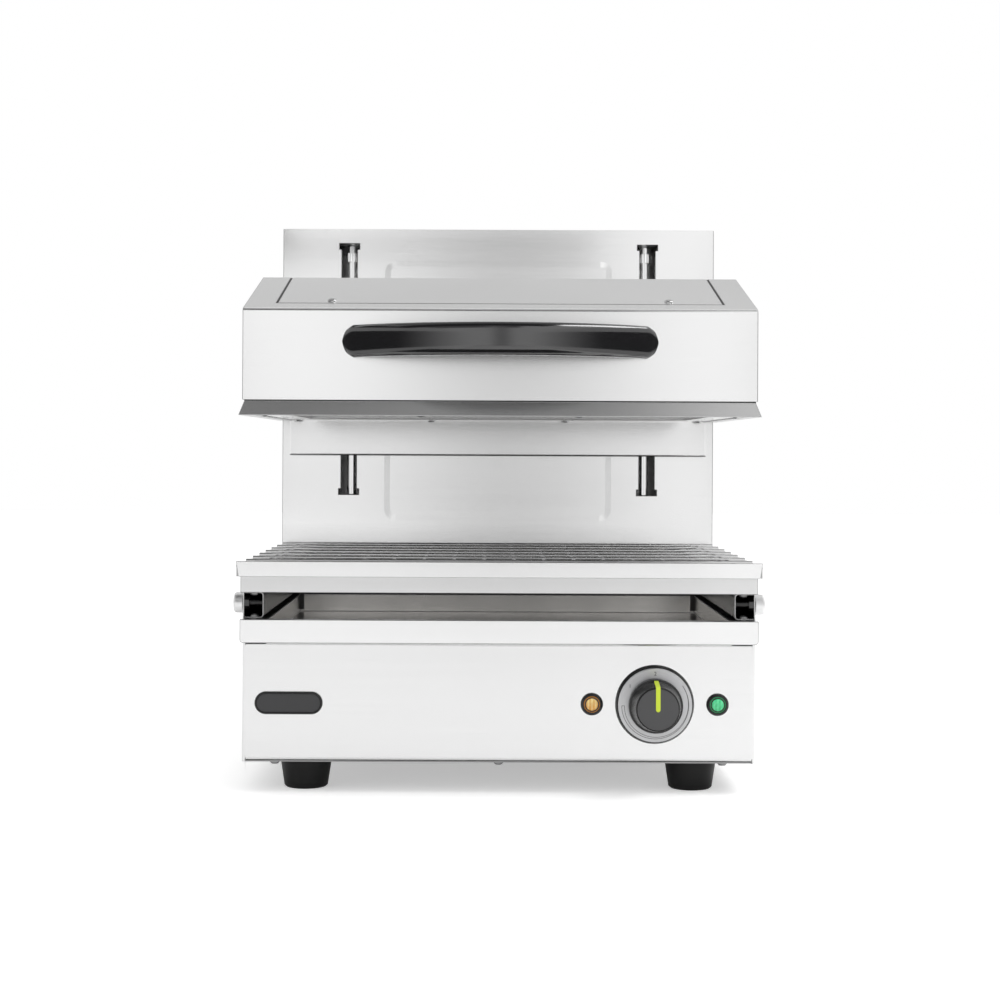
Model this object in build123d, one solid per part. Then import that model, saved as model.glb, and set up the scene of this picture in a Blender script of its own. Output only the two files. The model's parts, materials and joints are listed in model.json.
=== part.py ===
from build123d import *
import math
import os

# Lift-head salamander grill. Millimetres, +Z up, the front faces -Y, Z = 0 is the table.

# Clearances
cut_extra = 5.0          # how far a through cut passes the faces it opens
nest_gap = 0.2           # nested sheets and screws in their holes
seat_gap = 0.3           # a loose piece above the face it rests on
run_gap = 0.05           # radial clearance of a running or sliding fit

# Body
body_width = 440.0
body_depth = 405.0       # front panel to rear face
column_depth = 75.0      # back panel to rear face
sheet = 1.2              # housing sheet
thin_sheet = 1.0         # tray and reflector sheet
bend_inner = 1.8         # inside radius of the housing's front corners
flange_depth = 14.0      # folded returns of the front panel
floor_flange = 12.0      # upturned edges of the bottom plate

# Heights of the front, from the table up
foot_height = 26.8
panel_height = 102.6
lip_height = 20.0
slot_height = 22.6
crossbar_height = 14.4
hem_height = 9.8         # hem under the top plate
hem_rise = 3.4           # front hem above the top plate

# Feet
foot_top_radius = 22.8
foot_bottom_radius = 18.7
foot_edge = 1.5
foot_side_inset = 52.0   # foot axis from the side of the body
foot_end_inset = 38.0    # foot axis from the front and rear of the body
foot_bolt_radius = 3.0
foot_bolt_depth = 16.0
foot_bolt_head_flats = 10.0
foot_bolt_head_height = 4.0

# Fasteners
screw_radius = 2.0
screw_head_radius = 4.0
screw_head_height = 2.4
screw_head_edge = 1.2
sunk_head_radius = 3.6   # countersunk screws, flush with their sheet
screw_end = 3.0          # thread left past the last sheet
bottom_screw_inset = 27.7

# Drip tray and the bay that it slides in
tray_rear_margin = 30.0  # tray ends this far in front of the back panel
tray_side_gap = 18.8     # tray walls inside the side walls
tray_wall_drop = 1.5     # side walls end this far under the top of the lip
tray_corner_gap = 3.5
tray_corner_foot = 2.0   # closed height under each corner gap
tray_rear_gap = 6.0
lip_overhang = 10.0
lip_return = 8.0
lip_ear = 1.0
lip_corner = 3.0
shelf_flange = 15.0

# Side channels beside the tray slot
channel_width = 16.8
channel_sheet = 1.2
channel_bend = 2.0
channel_front = 4.0
bolt_raise = 1.7         # bolt axis above the middle of the slot
bolt_setback = 9.0       # bolt axis behind the front panel
bolt_radius = 2.5
bolt_head_radius = 8.8
bolt_head_height = 8.0
bolt_head_round = 2.5
bolt_nut_flats = 9.0
bolt_nut_height = 4.0

# Crossbar and top frame
crossbar_overhang = 5.0
crossbar_depth = 18.0
crossbar_ear = 1.0
frame_overhang = 20.0
frame_ear = 3.0
hem_taper = 2.0
opening_side = 15.0      # width of the frame beside its opening, inside the body
opening_rear = 14.0      # width of the frame behind its opening
drip_edge = 7.0
service_half = 60.0      # cut-out under the column
service_margin = 16.0

# Wire grid
wire_radius = 1.8
wire_count = 7
wire_overhang = 2.0      # wire ends inside the sides of the body
bar_radius = 2.4
bar_count = 16
bar_clear = 2.5          # bars inside the frame's drip edges
bar_end = 10.0           # bars past the first and last wire
weld_depth = 0.8

# Back panel and column
panel_ear = 1.0
panel_return = 14.0
slot_x = 153.0
slot_half = 8.0
slot_margin_low = 17.4
slot_margin_high = 20.5
notch_half = 10.4
notch_height = 6.0
slot_flange = 6.0
panel_top_margin = 14.7
emboss_side = 26.1       # raised field inside the slots
emboss_low = 25.4        # above the top frame
emboss_high = 32.2       # below the top of the panel
emboss_height = 1.2
emboss_slope = 6.0
emboss_corner = 12.0
cover_screw_margin = 36.0
vent_length = 70.0
vent_width = 5.0
vent_pitch = 14.0
vent_rows = 5
vent_x = 90.0

# Lift
lift_up = 100.0
lift_down = 50.0
guide_offset = 1.5       # rod axis nearer the middle than the slot's axis
rod_setback = 20.0       # rod axis behind the front of the back panel
rod_radius = 5.0
collar_radius = 8.0
collar_height = 9.0
collar_gap = 3.0         # free travel left under each collar
bracket_height = 8.0
bracket_end = 22.0
bracket_rear = 14.0
bracket_lift = 1.0       # upper bracket above the slots
carriage_half_x = 14.0
carriage_half_y = 11.5
bush_wall = 3.0
bush_length = 18.0
arm_drop = 8.0           # arms reach this far below the head
arm_height = 70.0
arm_half = 4.0
arm_foot_half = 14.0
arm_foot_thick = 4.0
bar_rise = 27.0          # carriage bar above the foot of the arms
bar_height = 16.0
bar_half_y = 8.0
gas_radius = 11.0
gas_wall = 2.0
gas_cap = 10.0
gas_floor = 4.0
gas_rod_radius = 4.0
gas_piston_height = 12.0
gas_piston_rise = 20.0   # free travel under the piston at the lowest head
gas_end_gap = 30.0       # bar above the cylinder at the lowest head
gas_bracket_height = 24.0
gas_bracket_half = 20.0

# Heating head
grill_gap = 127.2        # top frame to the rim of the head, as photographed
head_overhang = 6.0
head_rear_gap = 10.0
skirt_height = 13.2
skirt_flare = 3.0
skirt_gap = 1.0
skirt_upstand = 8.0
skirt_hem = 8.0
head_front_height = 78.4
roof_rise = 39.2
roof_run = 149.0
head_bend = 3.4          # outside radius of the hood's folds
cover_side = 26.0
cover_setback = 22.0
cover_rear_margin = 24.0
cover_gap = 1.5
cover_ledge = 10.0
cover_screw_side = 47.5
cover_screw_inset = 11.0
rim_front = 28.0         # underside frame in front of its opening
rim_side = 30.0
rim_rear = 25.0
reflector_depth = 44.0
reflector_flange = 18.0
rim_screw_side = 16.0    # outer screws from the side of the head
rim_screw_inset = 11.0
wool_height = 20.0
apron_side = 8.0
apron_drop = 35.0
apron_hem = 5.0

# Heating elements
tube_radius = 4.0
tube_drop = 22.0         # tube axis under the reflector
tube_runs = 3
tube_edge_gap = 41.5     # first and last run inside the reflector
tube_side_gap = 23.8     # ends of the runs inside the reflector
tube_bend = 14.0
tube_turn_flat = 1.0
tube_end = 10.0          # cold ends above the wool
tube_hole_gap = 1.0
hanger_x = 90.0
hanger_thick = 2.0
hanger_margin = 8.0

# Handle
handle_half = 135.0
handle_height = 27.4
handle_bow = 60.0
handle_thick = 15.0
handle_flat = 12.5
handle_bevel = 4.0
handle_round = 1.5
handle_drop = 28.2       # handle axis under the front top edge
handle_screw_inset = 11.0
handle_screw_depth = 7.0

# Controls
dial_side = 86.5         # dial axis from the side of the body
dial_drop = 0.75         # dial axis under the middle of the panel
dial_ring_radius = 34.0
dial_ring_taper = 1.8
dial_ring_height = 4.6
dial_plate_inset = 0.6   # disc inside the front edge of the ring
dial_plate_thick = 1.6
spindle_radius = 3.0
bushing_wall = 2.0
knob_skirt_radius = 23.0
knob_skirt_height = 8.0
knob_step = 1.5
knob_face_radius = 18.6
knob_height = 28.0
knob_edge = 1.2
knob_gap = 0.5
knob_bore_depth = 16.0
pointer_half = 1.9
pointer_proud = 0.5
regulator_size = 46.0
regulator_depth = 32.0
lamp_spread = 53.8       # lamps to each side of the dial
lamp_ring_radius = 9.6
lamp_ring_height = 3.0
lamp_body_radius = 7.4
lamp_body_depth = 24.0
lamp_lens_radius = 7.0
lamp_lens_height = 4.5
lamp_lens_edge = 2.0
badge_side = 40.1        # middle of the plate from the side of the body
badge_length = 58.2
badge_height = 19.3
badge_thick = 2.0
badge_rim = 1.8
badge_recess = 0.6

# Supply inlet
gland_x = -105.0
gland_rise = 50.0
gland_bore = 5.0
gland_thread_radius = 8.0
gland_inside = 12.0
gland_flange_radius = 12.0
gland_flange_height = 6.0
gland_tip_radius = 8.0
gland_reach = 16.0
gland_nut_flats = 22.0
gland_nut_height = 5.0
block_length = 60.0
block_depth = 24.0
block_height = 20.0
block_gap = 6.0          # terminals in front of the rear foot bolts
block_pole_radius = 3.5
block_pole_depth = 10.0
block_poles = 4

# Levels worked out from the sizes above
half = body_width / 2
inner = half - sheet
base_z = foot_height
floor_z = base_z + sheet
panel_top_z = base_z + panel_height
lip_top_z = panel_top_z + lip_height
crossbar_z = lip_top_z + slot_height
hem_z = crossbar_z + crossbar_height
frame_top_z = hem_z + hem_height
wall_top_z = frame_top_z - sheet
head_z = frame_top_z + grill_gap
head_low_z = head_z + skirt_height
eave_z = head_low_z + head_front_height
head_top_z = eave_z + roof_rise
arm_low_z = head_z - arm_drop
arm_high_z = arm_low_z + arm_height
slot_low_z = arm_low_z - lift_down - slot_margin_low
slot_high_z = arm_high_z + lift_up + slot_margin_high
column_top_z = slot_high_z + panel_top_margin
bar_low_z = arm_low_z + bar_rise
rim_z = head_z + sheet
rim_top_z = rim_z + sheet
reflector_z = rim_top_z + reflector_depth
tube_z = reflector_z - thin_sheet - tube_drop
tube_end_z = reflector_z + wool_height + tube_end
handle_z = eave_z - handle_drop
dial_z = (base_z + panel_top_z) / 2 - dial_drop
bolt_z = (lip_top_z + crossbar_z) / 2 + bolt_raise
bushing_radius = spindle_radius + run_gap + bushing_wall

# Places across the width
fold_half = inner - bend_inner
tray_half = inner - tray_side_gap
opening_half = inner - opening_side
guide_x = slot_x - guide_offset
emboss_half = slot_x - notch_half - emboss_side
cover_half = half - cover_side
cover_screw_x = cover_half - cover_screw_side
rim_half = inner - rim_side
rim_screw_x = half - rim_screw_side
apron_half = half - apron_side
tube_half = rim_half - tube_side_gap
handle_screw_x = handle_half - handle_screw_inset
dial_x = half - dial_side
amber_x = dial_x - lamp_spread
green_x = dial_x + lamp_spread
badge_x = -half + badge_side
channel_screw_x = inner - channel_width / 2
bottom_screw_x = half - bottom_screw_inset
wire_half = half - wire_overhang

# Front-to-back places, with the origin midway between handle and inlet
panel_y = (head_overhang + handle_bow - body_depth - gland_reach) / 2
rear_y = panel_y + body_depth
back_y = rear_y - column_depth
corner_y = panel_y + bend_inner + sheet
crossbar_y = panel_y - crossbar_overhang
frame_y = panel_y - frame_overhang
opening_front_y = crossbar_y + sheet
opening_rear_y = back_y - opening_rear
tray_rear_y = back_y - tray_rear_margin
shelf_rear_y = tray_rear_y + tray_rear_gap + sheet
head_y = panel_y - head_overhang
head_rear_y = back_y - head_rear_gap
guide_y = back_y + rod_setback
bolt_y = panel_y + bolt_setback
channel_screw_y = panel_y + crossbar_depth / 2
bottom_screw_y = panel_y + flange_depth / 2
roof_angle = math.degrees(math.atan2(roof_rise, roof_run))
rim_front_y = head_y + rim_front
rim_rear_y = head_rear_y - rim_rear
tube_pitch = (rim_rear_y - rim_front_y - 2 * tube_edge_gap) / (2 * tube_runs - 1)
wire_z = frame_top_z + seat_gap + wire_radius
bar_z = wire_z - wire_radius - bar_radius + weld_depth
dial_ring_y = panel_y - dial_ring_height
dial_face_y = dial_ring_y - dial_plate_thick
knob_back_y = dial_face_y - knob_gap


def block(x0, x1, y0, y1, z0, z1):
    """Box between two corners."""
    return Pos((x0 + x1) / 2, (y0 + y1) / 2, (z0 + z1) / 2) * Box(x1 - x0, y1 - y0, z1 - z0)


def rod_x(y, z, radius, x0, x1):
    """Round bar along X."""
    return Pos((x0 + x1) / 2, y, z) * Rot(0, 90, 0) * Cylinder(radius, x1 - x0)


def rod_y(x, z, radius, y0, y1):
    """Round bar along Y."""
    return Pos(x, (y0 + y1) / 2, z) * Rot(90, 0, 0) * Cylinder(radius, y1 - y0)


def rod_z(x, y, radius, z0, z1):
    """Round bar along Z."""
    return Pos(x, y, (z0 + z1) / 2) * Cylinder(radius, z1 - z0)


def yz_prism(points, half_x):
    """Side profile given as (y, z) points, carried across the width."""
    return extrude(Plane.YZ * make_face(Polyline(*points, close=True)), half_x, both=True)


def wrap_prism(half_x, front, rear, low, high, radius):
    """Upright prism whose two front corners are rounded."""
    prism = block(-half_x, half_x, front, rear, low, high)
    return fillet(prism.edges().filter_by(Axis.Z).group_by(Axis.Y)[0], radius)


def front_plane(x, y, z):
    """Drawing plane that faces the front."""
    return Plane(origin=(x, y, z), x_dir=(1, 0, 0), z_dir=(0, -1, 0))


def revolved_front(points, x, y, z):
    """Turned piece on an axis along -Y, from (radius, reach) points."""
    profile = make_face(Polyline(*points, close=True))
    turned = revolve(Plane.XZ * profile, Axis.Z)
    return Pos(x, y, z) * Rot(90, 0, 0) * turned


def hexagon(flats, height):
    """Hexagonal prism standing on the origin."""
    return extrude(RegularPolygon(flats / 2, 6, major_radius=False), height)


def pan_screw(length):
    """Pan-head screw with its seat at the origin, head up and shank down."""
    head = Pos(0, 0, screw_head_height / 2) * Cylinder(screw_head_radius, screw_head_height)
    head = chamfer(head.edges().group_by(Axis.Z)[-1], screw_head_edge)
    return head + rod_z(0, 0, screw_radius, -length, 0)


def screw_hole(depth):
    """Clearance hole for a pan-head screw at the origin."""
    return rod_z(0, 0, screw_radius + nest_gap, -depth, cut_extra)


def sunk_screw(length):
    """Countersunk screw, its head one sheet deep and flush with the origin."""
    head = Pos(0, 0, -sheet / 2) * Cone(screw_radius, sunk_head_radius, sheet)
    return head + rod_z(0, 0, screw_radius, -length, -sheet)


def sunk_hole():
    """Hole for a countersunk screw in the outer sheet at the origin."""
    seat = Pos(0, 0, -sheet / 2) * Cone(screw_radius + nest_gap, sunk_head_radius + nest_gap, sheet)
    return seat + rod_z(0, 0, screw_radius + nest_gap, -cut_extra, -sheet)


def group(solids):
    """Several solids kept apart in one piece."""
    return Compound(children=list(solids))


def mirrored(shape):
    """The same piece on the other side of the body."""
    return mirror(shape, about=Plane.YZ)


# Base

def base_housing():
    """Front panel and both side walls, one wrapped sheet."""
    shell = wrap_prism(half, panel_y, rear_y, base_z, wall_top_z, bend_inner + sheet)
    shell -= wrap_prism(inner, panel_y + sheet, rear_y + cut_extra,
                        base_z - cut_extra, wall_top_z + cut_extra, bend_inner)
    shell -= block(-half - cut_extra, half + cut_extra, panel_y - cut_extra, corner_y,
                   panel_top_z, wall_top_z + cut_extra)
    shell -= block(-fold_half, fold_half, panel_y - cut_extra, corner_y, base_z - cut_extra, panel_top_z)
    shell += folded_front()
    panel_back_y = panel_y + flange_depth
    shell -= rod_y(dial_x, dial_z, bushing_radius + nest_gap,
                   panel_y - cut_extra, panel_back_y)
    for x in (amber_x, green_x):
        shell -= rod_y(x, dial_z, lamp_body_radius + nest_gap,
                       panel_y - cut_extra, panel_back_y)
    shell -= rod_x(bolt_y, bolt_z, bolt_radius + nest_gap, -half - cut_extra, half + cut_extra)
    for place in bottom_screw_places():
        shell -= place * screw_hole(cut_extra)
    return shell


def folded_front():
    """Front panel between the corners, with rounded folds and a return at top and bottom."""
    rear = panel_y + flange_depth
    panel = block(-fold_half, fold_half, panel_y, rear, floor_z, panel_top_z)
    panel = fillet(panel.edges().filter_by(Axis.X).group_by(Axis.Y)[0], bend_inner + sheet)
    hollow = block(-fold_half - cut_extra, fold_half + cut_extra, panel_y + sheet, rear + cut_extra,
                   floor_z + sheet, panel_top_z - sheet)
    return panel - fillet(hollow.edges().filter_by(Axis.X).group_by(Axis.Y)[0], bend_inner)


def bottom_screw_places():
    """Screws up through the bottom plate, behind the front panel."""
    return [Pos(x, bottom_screw_y, base_z) * Rot(180, 0, 0) for x in (-bottom_screw_x, 0, bottom_screw_x)]


def foot_places():
    """Axes of the feet by name."""
    x = half - foot_side_inset
    ends = (("front", panel_y + foot_end_inset), ("rear", rear_y - foot_end_inset))
    sides = (("left", -x), ("right", x))
    return {f"foot_{end}_{side}": (px, py) for end, py in ends for side, px in sides}


def base_bottom():
    """Bottom plate with upturned sides and air slots."""
    plate = wrap_prism(inner, panel_y + sheet, rear_y - sheet, base_z, floor_z, bend_inner + nest_gap)
    front = panel_y + flange_depth + nest_gap
    for x in (-inner, inner - sheet):
        plate += block(x, x + sheet, front, rear_y - sheet, base_z, floor_z + floor_flange)
    plate += block(-inner, inner, rear_y - 2 * sheet, rear_y - sheet, base_z, floor_z + floor_flange)
    for x, y in foot_places().values():
        plate -= rod_z(x, y, foot_bolt_radius + nest_gap, base_z - cut_extra, floor_z + cut_extra)
    for place in bottom_screw_places():
        plate -= place * screw_hole(cut_extra)
    middle_y = (panel_y + rear_y) / 2
    for row in range(vent_rows):
        y = middle_y + (row - (vent_rows - 1) / 2) * vent_pitch
        for x in (-vent_x, vent_x):
            plate -= block(x - vent_length / 2, x + vent_length / 2, y - vent_width / 2, y + vent_width / 2,
                           base_z - cut_extra, floor_z + cut_extra)
    return plate


def base_rear_panel():
    """Rear wall of the base with the inlet hole and air slots."""
    panel = block(-inner, inner, rear_y - sheet, rear_y, base_z, wall_top_z)
    panel -= rod_y(gland_x, base_z + gland_rise, gland_thread_radius + nest_gap,
                   rear_y - cut_extra, rear_y + cut_extra)
    for row in range(vent_rows):
        z = panel_top_z - row * vent_pitch
        panel -= block(vent_x - vent_length / 2, vent_x + vent_length / 2,
                       rear_y - cut_extra, rear_y + cut_extra, z - vent_width / 2, z + vent_width / 2)
    return panel


def tray_shelf():
    """Lid of the wiring space, on which the drip tray slides."""
    shelf = block(-inner, inner, panel_y + flange_depth, shelf_rear_y, panel_top_z - sheet, panel_top_z)
    for x in (-inner, inner - sheet):
        shelf += block(x, x + sheet, panel_y + flange_depth, shelf_rear_y,
                       panel_top_z - shelf_flange, panel_top_z)
    shelf += block(-inner, inner, shelf_rear_y - sheet, shelf_rear_y, panel_top_z - sheet, crossbar_z)
    return shelf


def side_channel():
    """Right-hand channel beside the tray slot, open towards the side wall."""
    wall_x = inner - channel_width
    rear = shelf_rear_y - sheet
    front = panel_y + channel_front
    bar = block(wall_x, inner, front, rear, lip_top_z, crossbar_z)
    bar = fillet(bar.edges().filter_by(Axis.Y).group_by(Axis.X)[0], channel_bend + channel_sheet)
    hollow = block(wall_x + channel_sheet, inner + cut_extra, front - cut_extra, rear + cut_extra,
                   lip_top_z + channel_sheet, crossbar_z - channel_sheet)
    hollow = fillet(hollow.edges().filter_by(Axis.Y).group_by(Axis.X)[0], channel_bend)
    bar -= hollow
    bar -= rod_x(bolt_y, bolt_z, bolt_radius + nest_gap, wall_x - cut_extra, wall_x + cut_extra)
    for place in channel_screw_places():
        bar -= place * screw_hole(cut_extra)
    return bar


def channel_screw_places():
    """Right-hand screws from inside the channel, up into the crossbar and down."""
    top = Pos(channel_screw_x, channel_screw_y, crossbar_z - channel_sheet) * Rot(180, 0, 0)
    bottom = Pos(channel_screw_x, channel_screw_y, lip_top_z + channel_sheet)
    return [top, bottom]


def side_bolts():
    """Capped bolts through both side walls into the channels."""
    head = Pos(0, 0, bolt_head_height / 2) * Cylinder(bolt_head_radius, bolt_head_height)
    head = fillet(head.edges().group_by(Axis.Z)[-1], bolt_head_round)
    bolt = head + rod_z(0, 0, bolt_radius, -sheet - channel_width, 0)
    right = Pos(half, bolt_y, bolt_z) * Rot(0, 90, 0) * bolt
    return group([right, mirrored(right)])


def side_bolt_nuts():
    """Nuts of the side bolts, against the inside of the walls."""
    nut = hexagon(bolt_nut_flats, bolt_nut_height)
    nut -= rod_z(0, 0, bolt_radius + run_gap, -cut_extra, bolt_nut_height + cut_extra)
    right = Pos(inner, bolt_y, bolt_z) * Rot(0, -90, 0) * nut
    return group([right, mirrored(right)])


def front_crossbar():
    """Folded bar over the tray slot, between the side walls."""
    ear = half + crossbar_ear
    flange_y = panel_y + crossbar_depth
    bar = block(-ear, ear, crossbar_y, crossbar_y + sheet, crossbar_z, wall_top_z)
    bar += block(-inner, inner, crossbar_y, flange_y, crossbar_z, crossbar_z + sheet)
    for x in (-inner, inner - sheet):
        bar += block(x, x + sheet, corner_y, flange_y, crossbar_z, wall_top_z)
    for place in channel_screw_places():
        hole = place * screw_hole(cut_extra)
        bar -= hole
        bar -= mirrored(hole)
    return bar


def top_frame():
    """Cap of the base: hemmed plate with the drip opening under the grid."""
    side = half + frame_ear
    rear = rear_y + nest_gap + sheet
    cap = block(-side, side, frame_y, rear, wall_top_z, frame_top_z)
    hem_top = frame_top_z + hem_rise
    hem = Polyline((-side, hem_top), (side, hem_top), (side - hem_taper, hem_z),
                   (-side + hem_taper, hem_z), close=True)
    cap += extrude(front_plane(0, frame_y, 0) * make_face(hem), -sheet)
    for x in (-side, side - sheet):
        cap += block(x, x + sheet, frame_y + hem_taper, rear, hem_z, frame_top_z)
    cap += block(-side, side, rear - sheet, rear, hem_z, frame_top_z)
    cap += block(-opening_half - sheet, opening_half + sheet, opening_front_y, opening_rear_y + sheet,
                 frame_top_z - drip_edge, frame_top_z)
    cap -= block(-opening_half, opening_half, opening_front_y + sheet, opening_rear_y,
                 frame_top_z - drip_edge - cut_extra, frame_top_z + cut_extra)
    return cap - service_opening()


def service_opening():
    """Way for the gas spring through the top frame and the foot of the back panel."""
    return block(-service_half, service_half, guide_y - service_margin, guide_y + service_margin,
                 wall_top_z - cut_extra, frame_top_z + cut_extra)


def rubber_foot(x, y):
    """Tapered rubber foot with a blind bore for its bolt."""
    foot = Pos(x, y, foot_height / 2) * Cone(foot_bottom_radius, foot_top_radius, foot_height)
    foot = chamfer(foot.edges().group_by(Axis.Z)[0], foot_edge)
    bore_z = foot_height - foot_bolt_depth
    return foot - rod_z(x, y, foot_bolt_radius + nest_gap, bore_z, foot_height + cut_extra)


def foot_bolts():
    """Hexagon bolts down through the bottom plate into the feet."""
    bolt = hexagon(foot_bolt_head_flats, foot_bolt_head_height)
    bolt += rod_z(0, 0, foot_bolt_radius, -foot_bolt_depth, 0)
    return group(Pos(x, y, floor_z) * bolt for x, y in foot_places().values())


def body_screws():
    """Pan-head screws of the base and countersunk screws of the column."""
    screws = [place * pan_screw(2 * sheet + screw_end) for place in bottom_screw_places()]
    sides = [place * pan_screw(channel_sheet + sheet + screw_end) for place in channel_screw_places()]
    sides += [place * sunk_screw(2 * sheet + nest_gap + screw_end) for place in column_screw_places()]
    return group(screws + sides + [mirrored(screw) for screw in sides])


# Column

def back_panel():
    """Embossed front of the column, with flanged slots for the lift arms."""
    side = half + panel_ear
    fold_y = back_y + panel_return
    panel = block(-side, side, back_y, back_y + sheet, frame_top_z, column_top_z)
    for x in (-side, side - sheet):
        panel += block(x, x + sheet, back_y, fold_y, frame_top_z, column_top_z)
    panel += block(-side, side, back_y, fold_y, column_top_z - sheet, column_top_z)
    foot_half = side - 2 * sheet - 2 * nest_gap
    panel += block(-foot_half, foot_half, back_y, fold_y, frame_top_z, frame_top_z + sheet)
    panel -= service_opening()
    low = frame_top_z + emboss_low
    high = column_top_z - emboss_high
    outline = front_plane(0, back_y, (low + high) / 2) * RectangleRounded(
        2 * emboss_half, high - low, emboss_corner)
    taper = math.degrees(math.atan2(emboss_slope, emboss_height))
    plateau = extrude(outline, emboss_height, taper=taper)
    panel = panel + plateau - Pos(0, sheet, 0) * plateau
    for x in (-slot_x, slot_x):
        panel -= block(x - slot_half, x + slot_half, back_y - cut_extra, fold_y, slot_low_z, slot_high_z)
        for z in (slot_low_z, slot_high_z - notch_height):
            panel -= block(x - notch_half, x + notch_half, back_y - cut_extra, fold_y, z, z + notch_height)
        for edge in (x - slot_half - sheet, x + slot_half):
            panel += block(edge, edge + sheet, back_y, back_y + sheet + slot_flange,
                           slot_low_z + notch_height, slot_high_z - notch_height)
    for place in column_screw_places():
        hole = place * sunk_hole()
        panel -= hole
        panel -= mirrored(hole)
    return panel


def column_screw_places():
    """Right-hand screws through the returns of the back panel into the cover."""
    low = frame_top_z + cover_screw_margin
    high = column_top_z - cover_screw_margin
    y = back_y + sheet + panel_return / 2
    return [Pos(half + panel_ear, y, z) * Rot(0, 90, 0) for z in (low, (low + high) / 2, high)]


def column_cover():
    """Rear shell of the column with air slots."""
    side = half + panel_ear - sheet - nest_gap
    top = column_top_z - sheet - nest_gap
    cover = block(-side, side, back_y + sheet + nest_gap, rear_y, frame_top_z, top)
    cover -= block(-side + sheet, side - sheet, back_y - cut_extra, rear_y - sheet,
                   frame_top_z - cut_extra, top - sheet)
    for row in range(vent_rows):
        z = top - panel_return - vent_width - row * vent_pitch
        for x in (-vent_x, vent_x):
            cover -= block(x - vent_length / 2, x + vent_length / 2, rear_y - cut_extra, rear_y + cut_extra,
                           z - vent_width / 2, z + vent_width / 2)
    for place in column_screw_places():
        hole = place * screw_hole(cut_extra)
        cover -= hole
        cover -= mirrored(hole)
    return cover


def guide_rod():
    """Right-hand polished rod that the head slides on."""
    low = frame_top_z + sheet
    high = slot_high_z + bracket_lift + bracket_height
    return rod_z(guide_x, guide_y, rod_radius, low, high)


def rod_bracket(low, gas_hole):
    """Bar across the column that holds an end of both rods."""
    reach = guide_x + bracket_end
    bar = block(-reach, reach, back_y + sheet, guide_y + bracket_rear, low, low + bracket_height)
    for x in (-guide_x, guide_x):
        bar -= rod_z(x, guide_y, rod_radius + run_gap, low - cut_extra, low + bracket_height + cut_extra)
    if gas_hole:
        bar -= rod_z(0, guide_y, gas_radius + run_gap, low - cut_extra, low + bracket_height + cut_extra)
    return bar


def stop_collars():
    """Collars on the rods that end the upward travel."""
    low = arm_high_z + lift_up + collar_gap
    ring = rod_z(guide_x, guide_y, collar_radius, low, low + collar_height)
    ring -= rod_z(guide_x, guide_y, rod_radius + run_gap, low - cut_extra, low + collar_height + cut_extra)
    return group([ring, mirrored(ring)])


def gas_spring_bracket():
    """Seat of the gas spring on the bottom plate."""
    front = guide_y - gas_bracket_half
    rear = guide_y + gas_bracket_half
    top = floor_z + gas_bracket_height
    seat = block(-gas_bracket_half, gas_bracket_half, front, rear, floor_z, top)
    tunnel = gas_bracket_half - sheet
    return seat - block(-tunnel, tunnel, front - cut_extra, rear + cut_extra,
                        floor_z - cut_extra, top - sheet)


def gas_spring_cylinder():
    """Pressure tube that carries most of the weight of the head."""
    low = floor_z + gas_bracket_height
    high = bar_low_z - lift_down - gas_end_gap
    tube = rod_z(0, guide_y, gas_radius, low, high)
    tube -= rod_z(0, guide_y, gas_radius - gas_wall, low + gas_floor, high - gas_cap)
    tube -= rod_z(0, guide_y, gas_rod_radius + run_gap, low + gas_floor, high + cut_extra)
    return tube


# Moving head

def head_outline(inset, low):
    """Side outline of the head, drawn in by an inset, as (y, z) points."""
    slope = math.radians(roof_angle)
    front = head_y + inset
    rear = head_rear_y - inset
    roof = head_top_z - inset
    drop = inset / math.cos(slope)
    front_top = eave_z + inset * math.tan(slope) - drop
    ridge = front + (roof - front_top) / math.tan(slope)
    return [(front, low), (front, front_top), (ridge, roof), (rear, roof), (rear, low)]


def head_solid(inset, low):
    """Block inside the outline of the head, with rounded folds along the roof."""
    solid = yz_prism(head_outline(inset, low), half - inset)
    folds = solid.edges().filter_by(Axis.X).sort_by(Axis.Z)[2:]
    return fillet(folds, head_bend - inset)


def head_skin(inset):
    """Layer one sheet thick that follows the outline of the head."""
    return head_solid(inset, head_low_z) - head_solid(inset + sheet, head_low_z - cut_extra)


def cover_window(grow):
    """Upright block over the opening in the roof."""
    return block(-cover_half - grow, cover_half + grow, head_y + cover_setback - grow,
                 head_rear_y - cover_rear_margin + grow, head_low_z, head_top_z + cut_extra)


def cover_screw_places():
    """Screws in the front and rear margins of the roof cover."""
    slope = math.radians(roof_angle)
    run = cover_setback + cover_screw_inset
    front = (head_y + run, eave_z + run * math.tan(slope), roof_angle)
    rear = (head_rear_y - cover_rear_margin - cover_screw_inset, head_top_z, 0.0)
    sides = (-cover_screw_x, cover_screw_x)
    return [Pos(x, y, z) * Rot(tilt, 0, 0) for y, z, tilt in (front, rear) for x in sides]


def head_shell():
    """Folded hood of the head, with a ledge under its roof cover."""
    shell = head_skin(0) - cover_window(0)
    ledge = head_skin(sheet) & cover_window(cover_ledge)
    shell += ledge - cover_window(-cover_ledge - cover_gap)
    shell += block(-half, half, head_rear_y - sheet, head_rear_y, rim_z, head_low_z)
    for place in cover_screw_places():
        shell -= place * screw_hole(cut_extra)
    for x in (-handle_screw_x, handle_screw_x):
        shell -= rod_y(x, handle_z, screw_radius + nest_gap, head_y - cut_extra, head_y + cut_extra)
    return shell


def head_top_cover():
    """Roof cover, flush in the hood."""
    cover = head_skin(0) & cover_window(-cover_gap)
    for place in cover_screw_places():
        cover -= place * screw_hole(cut_extra)
    return cover


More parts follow.
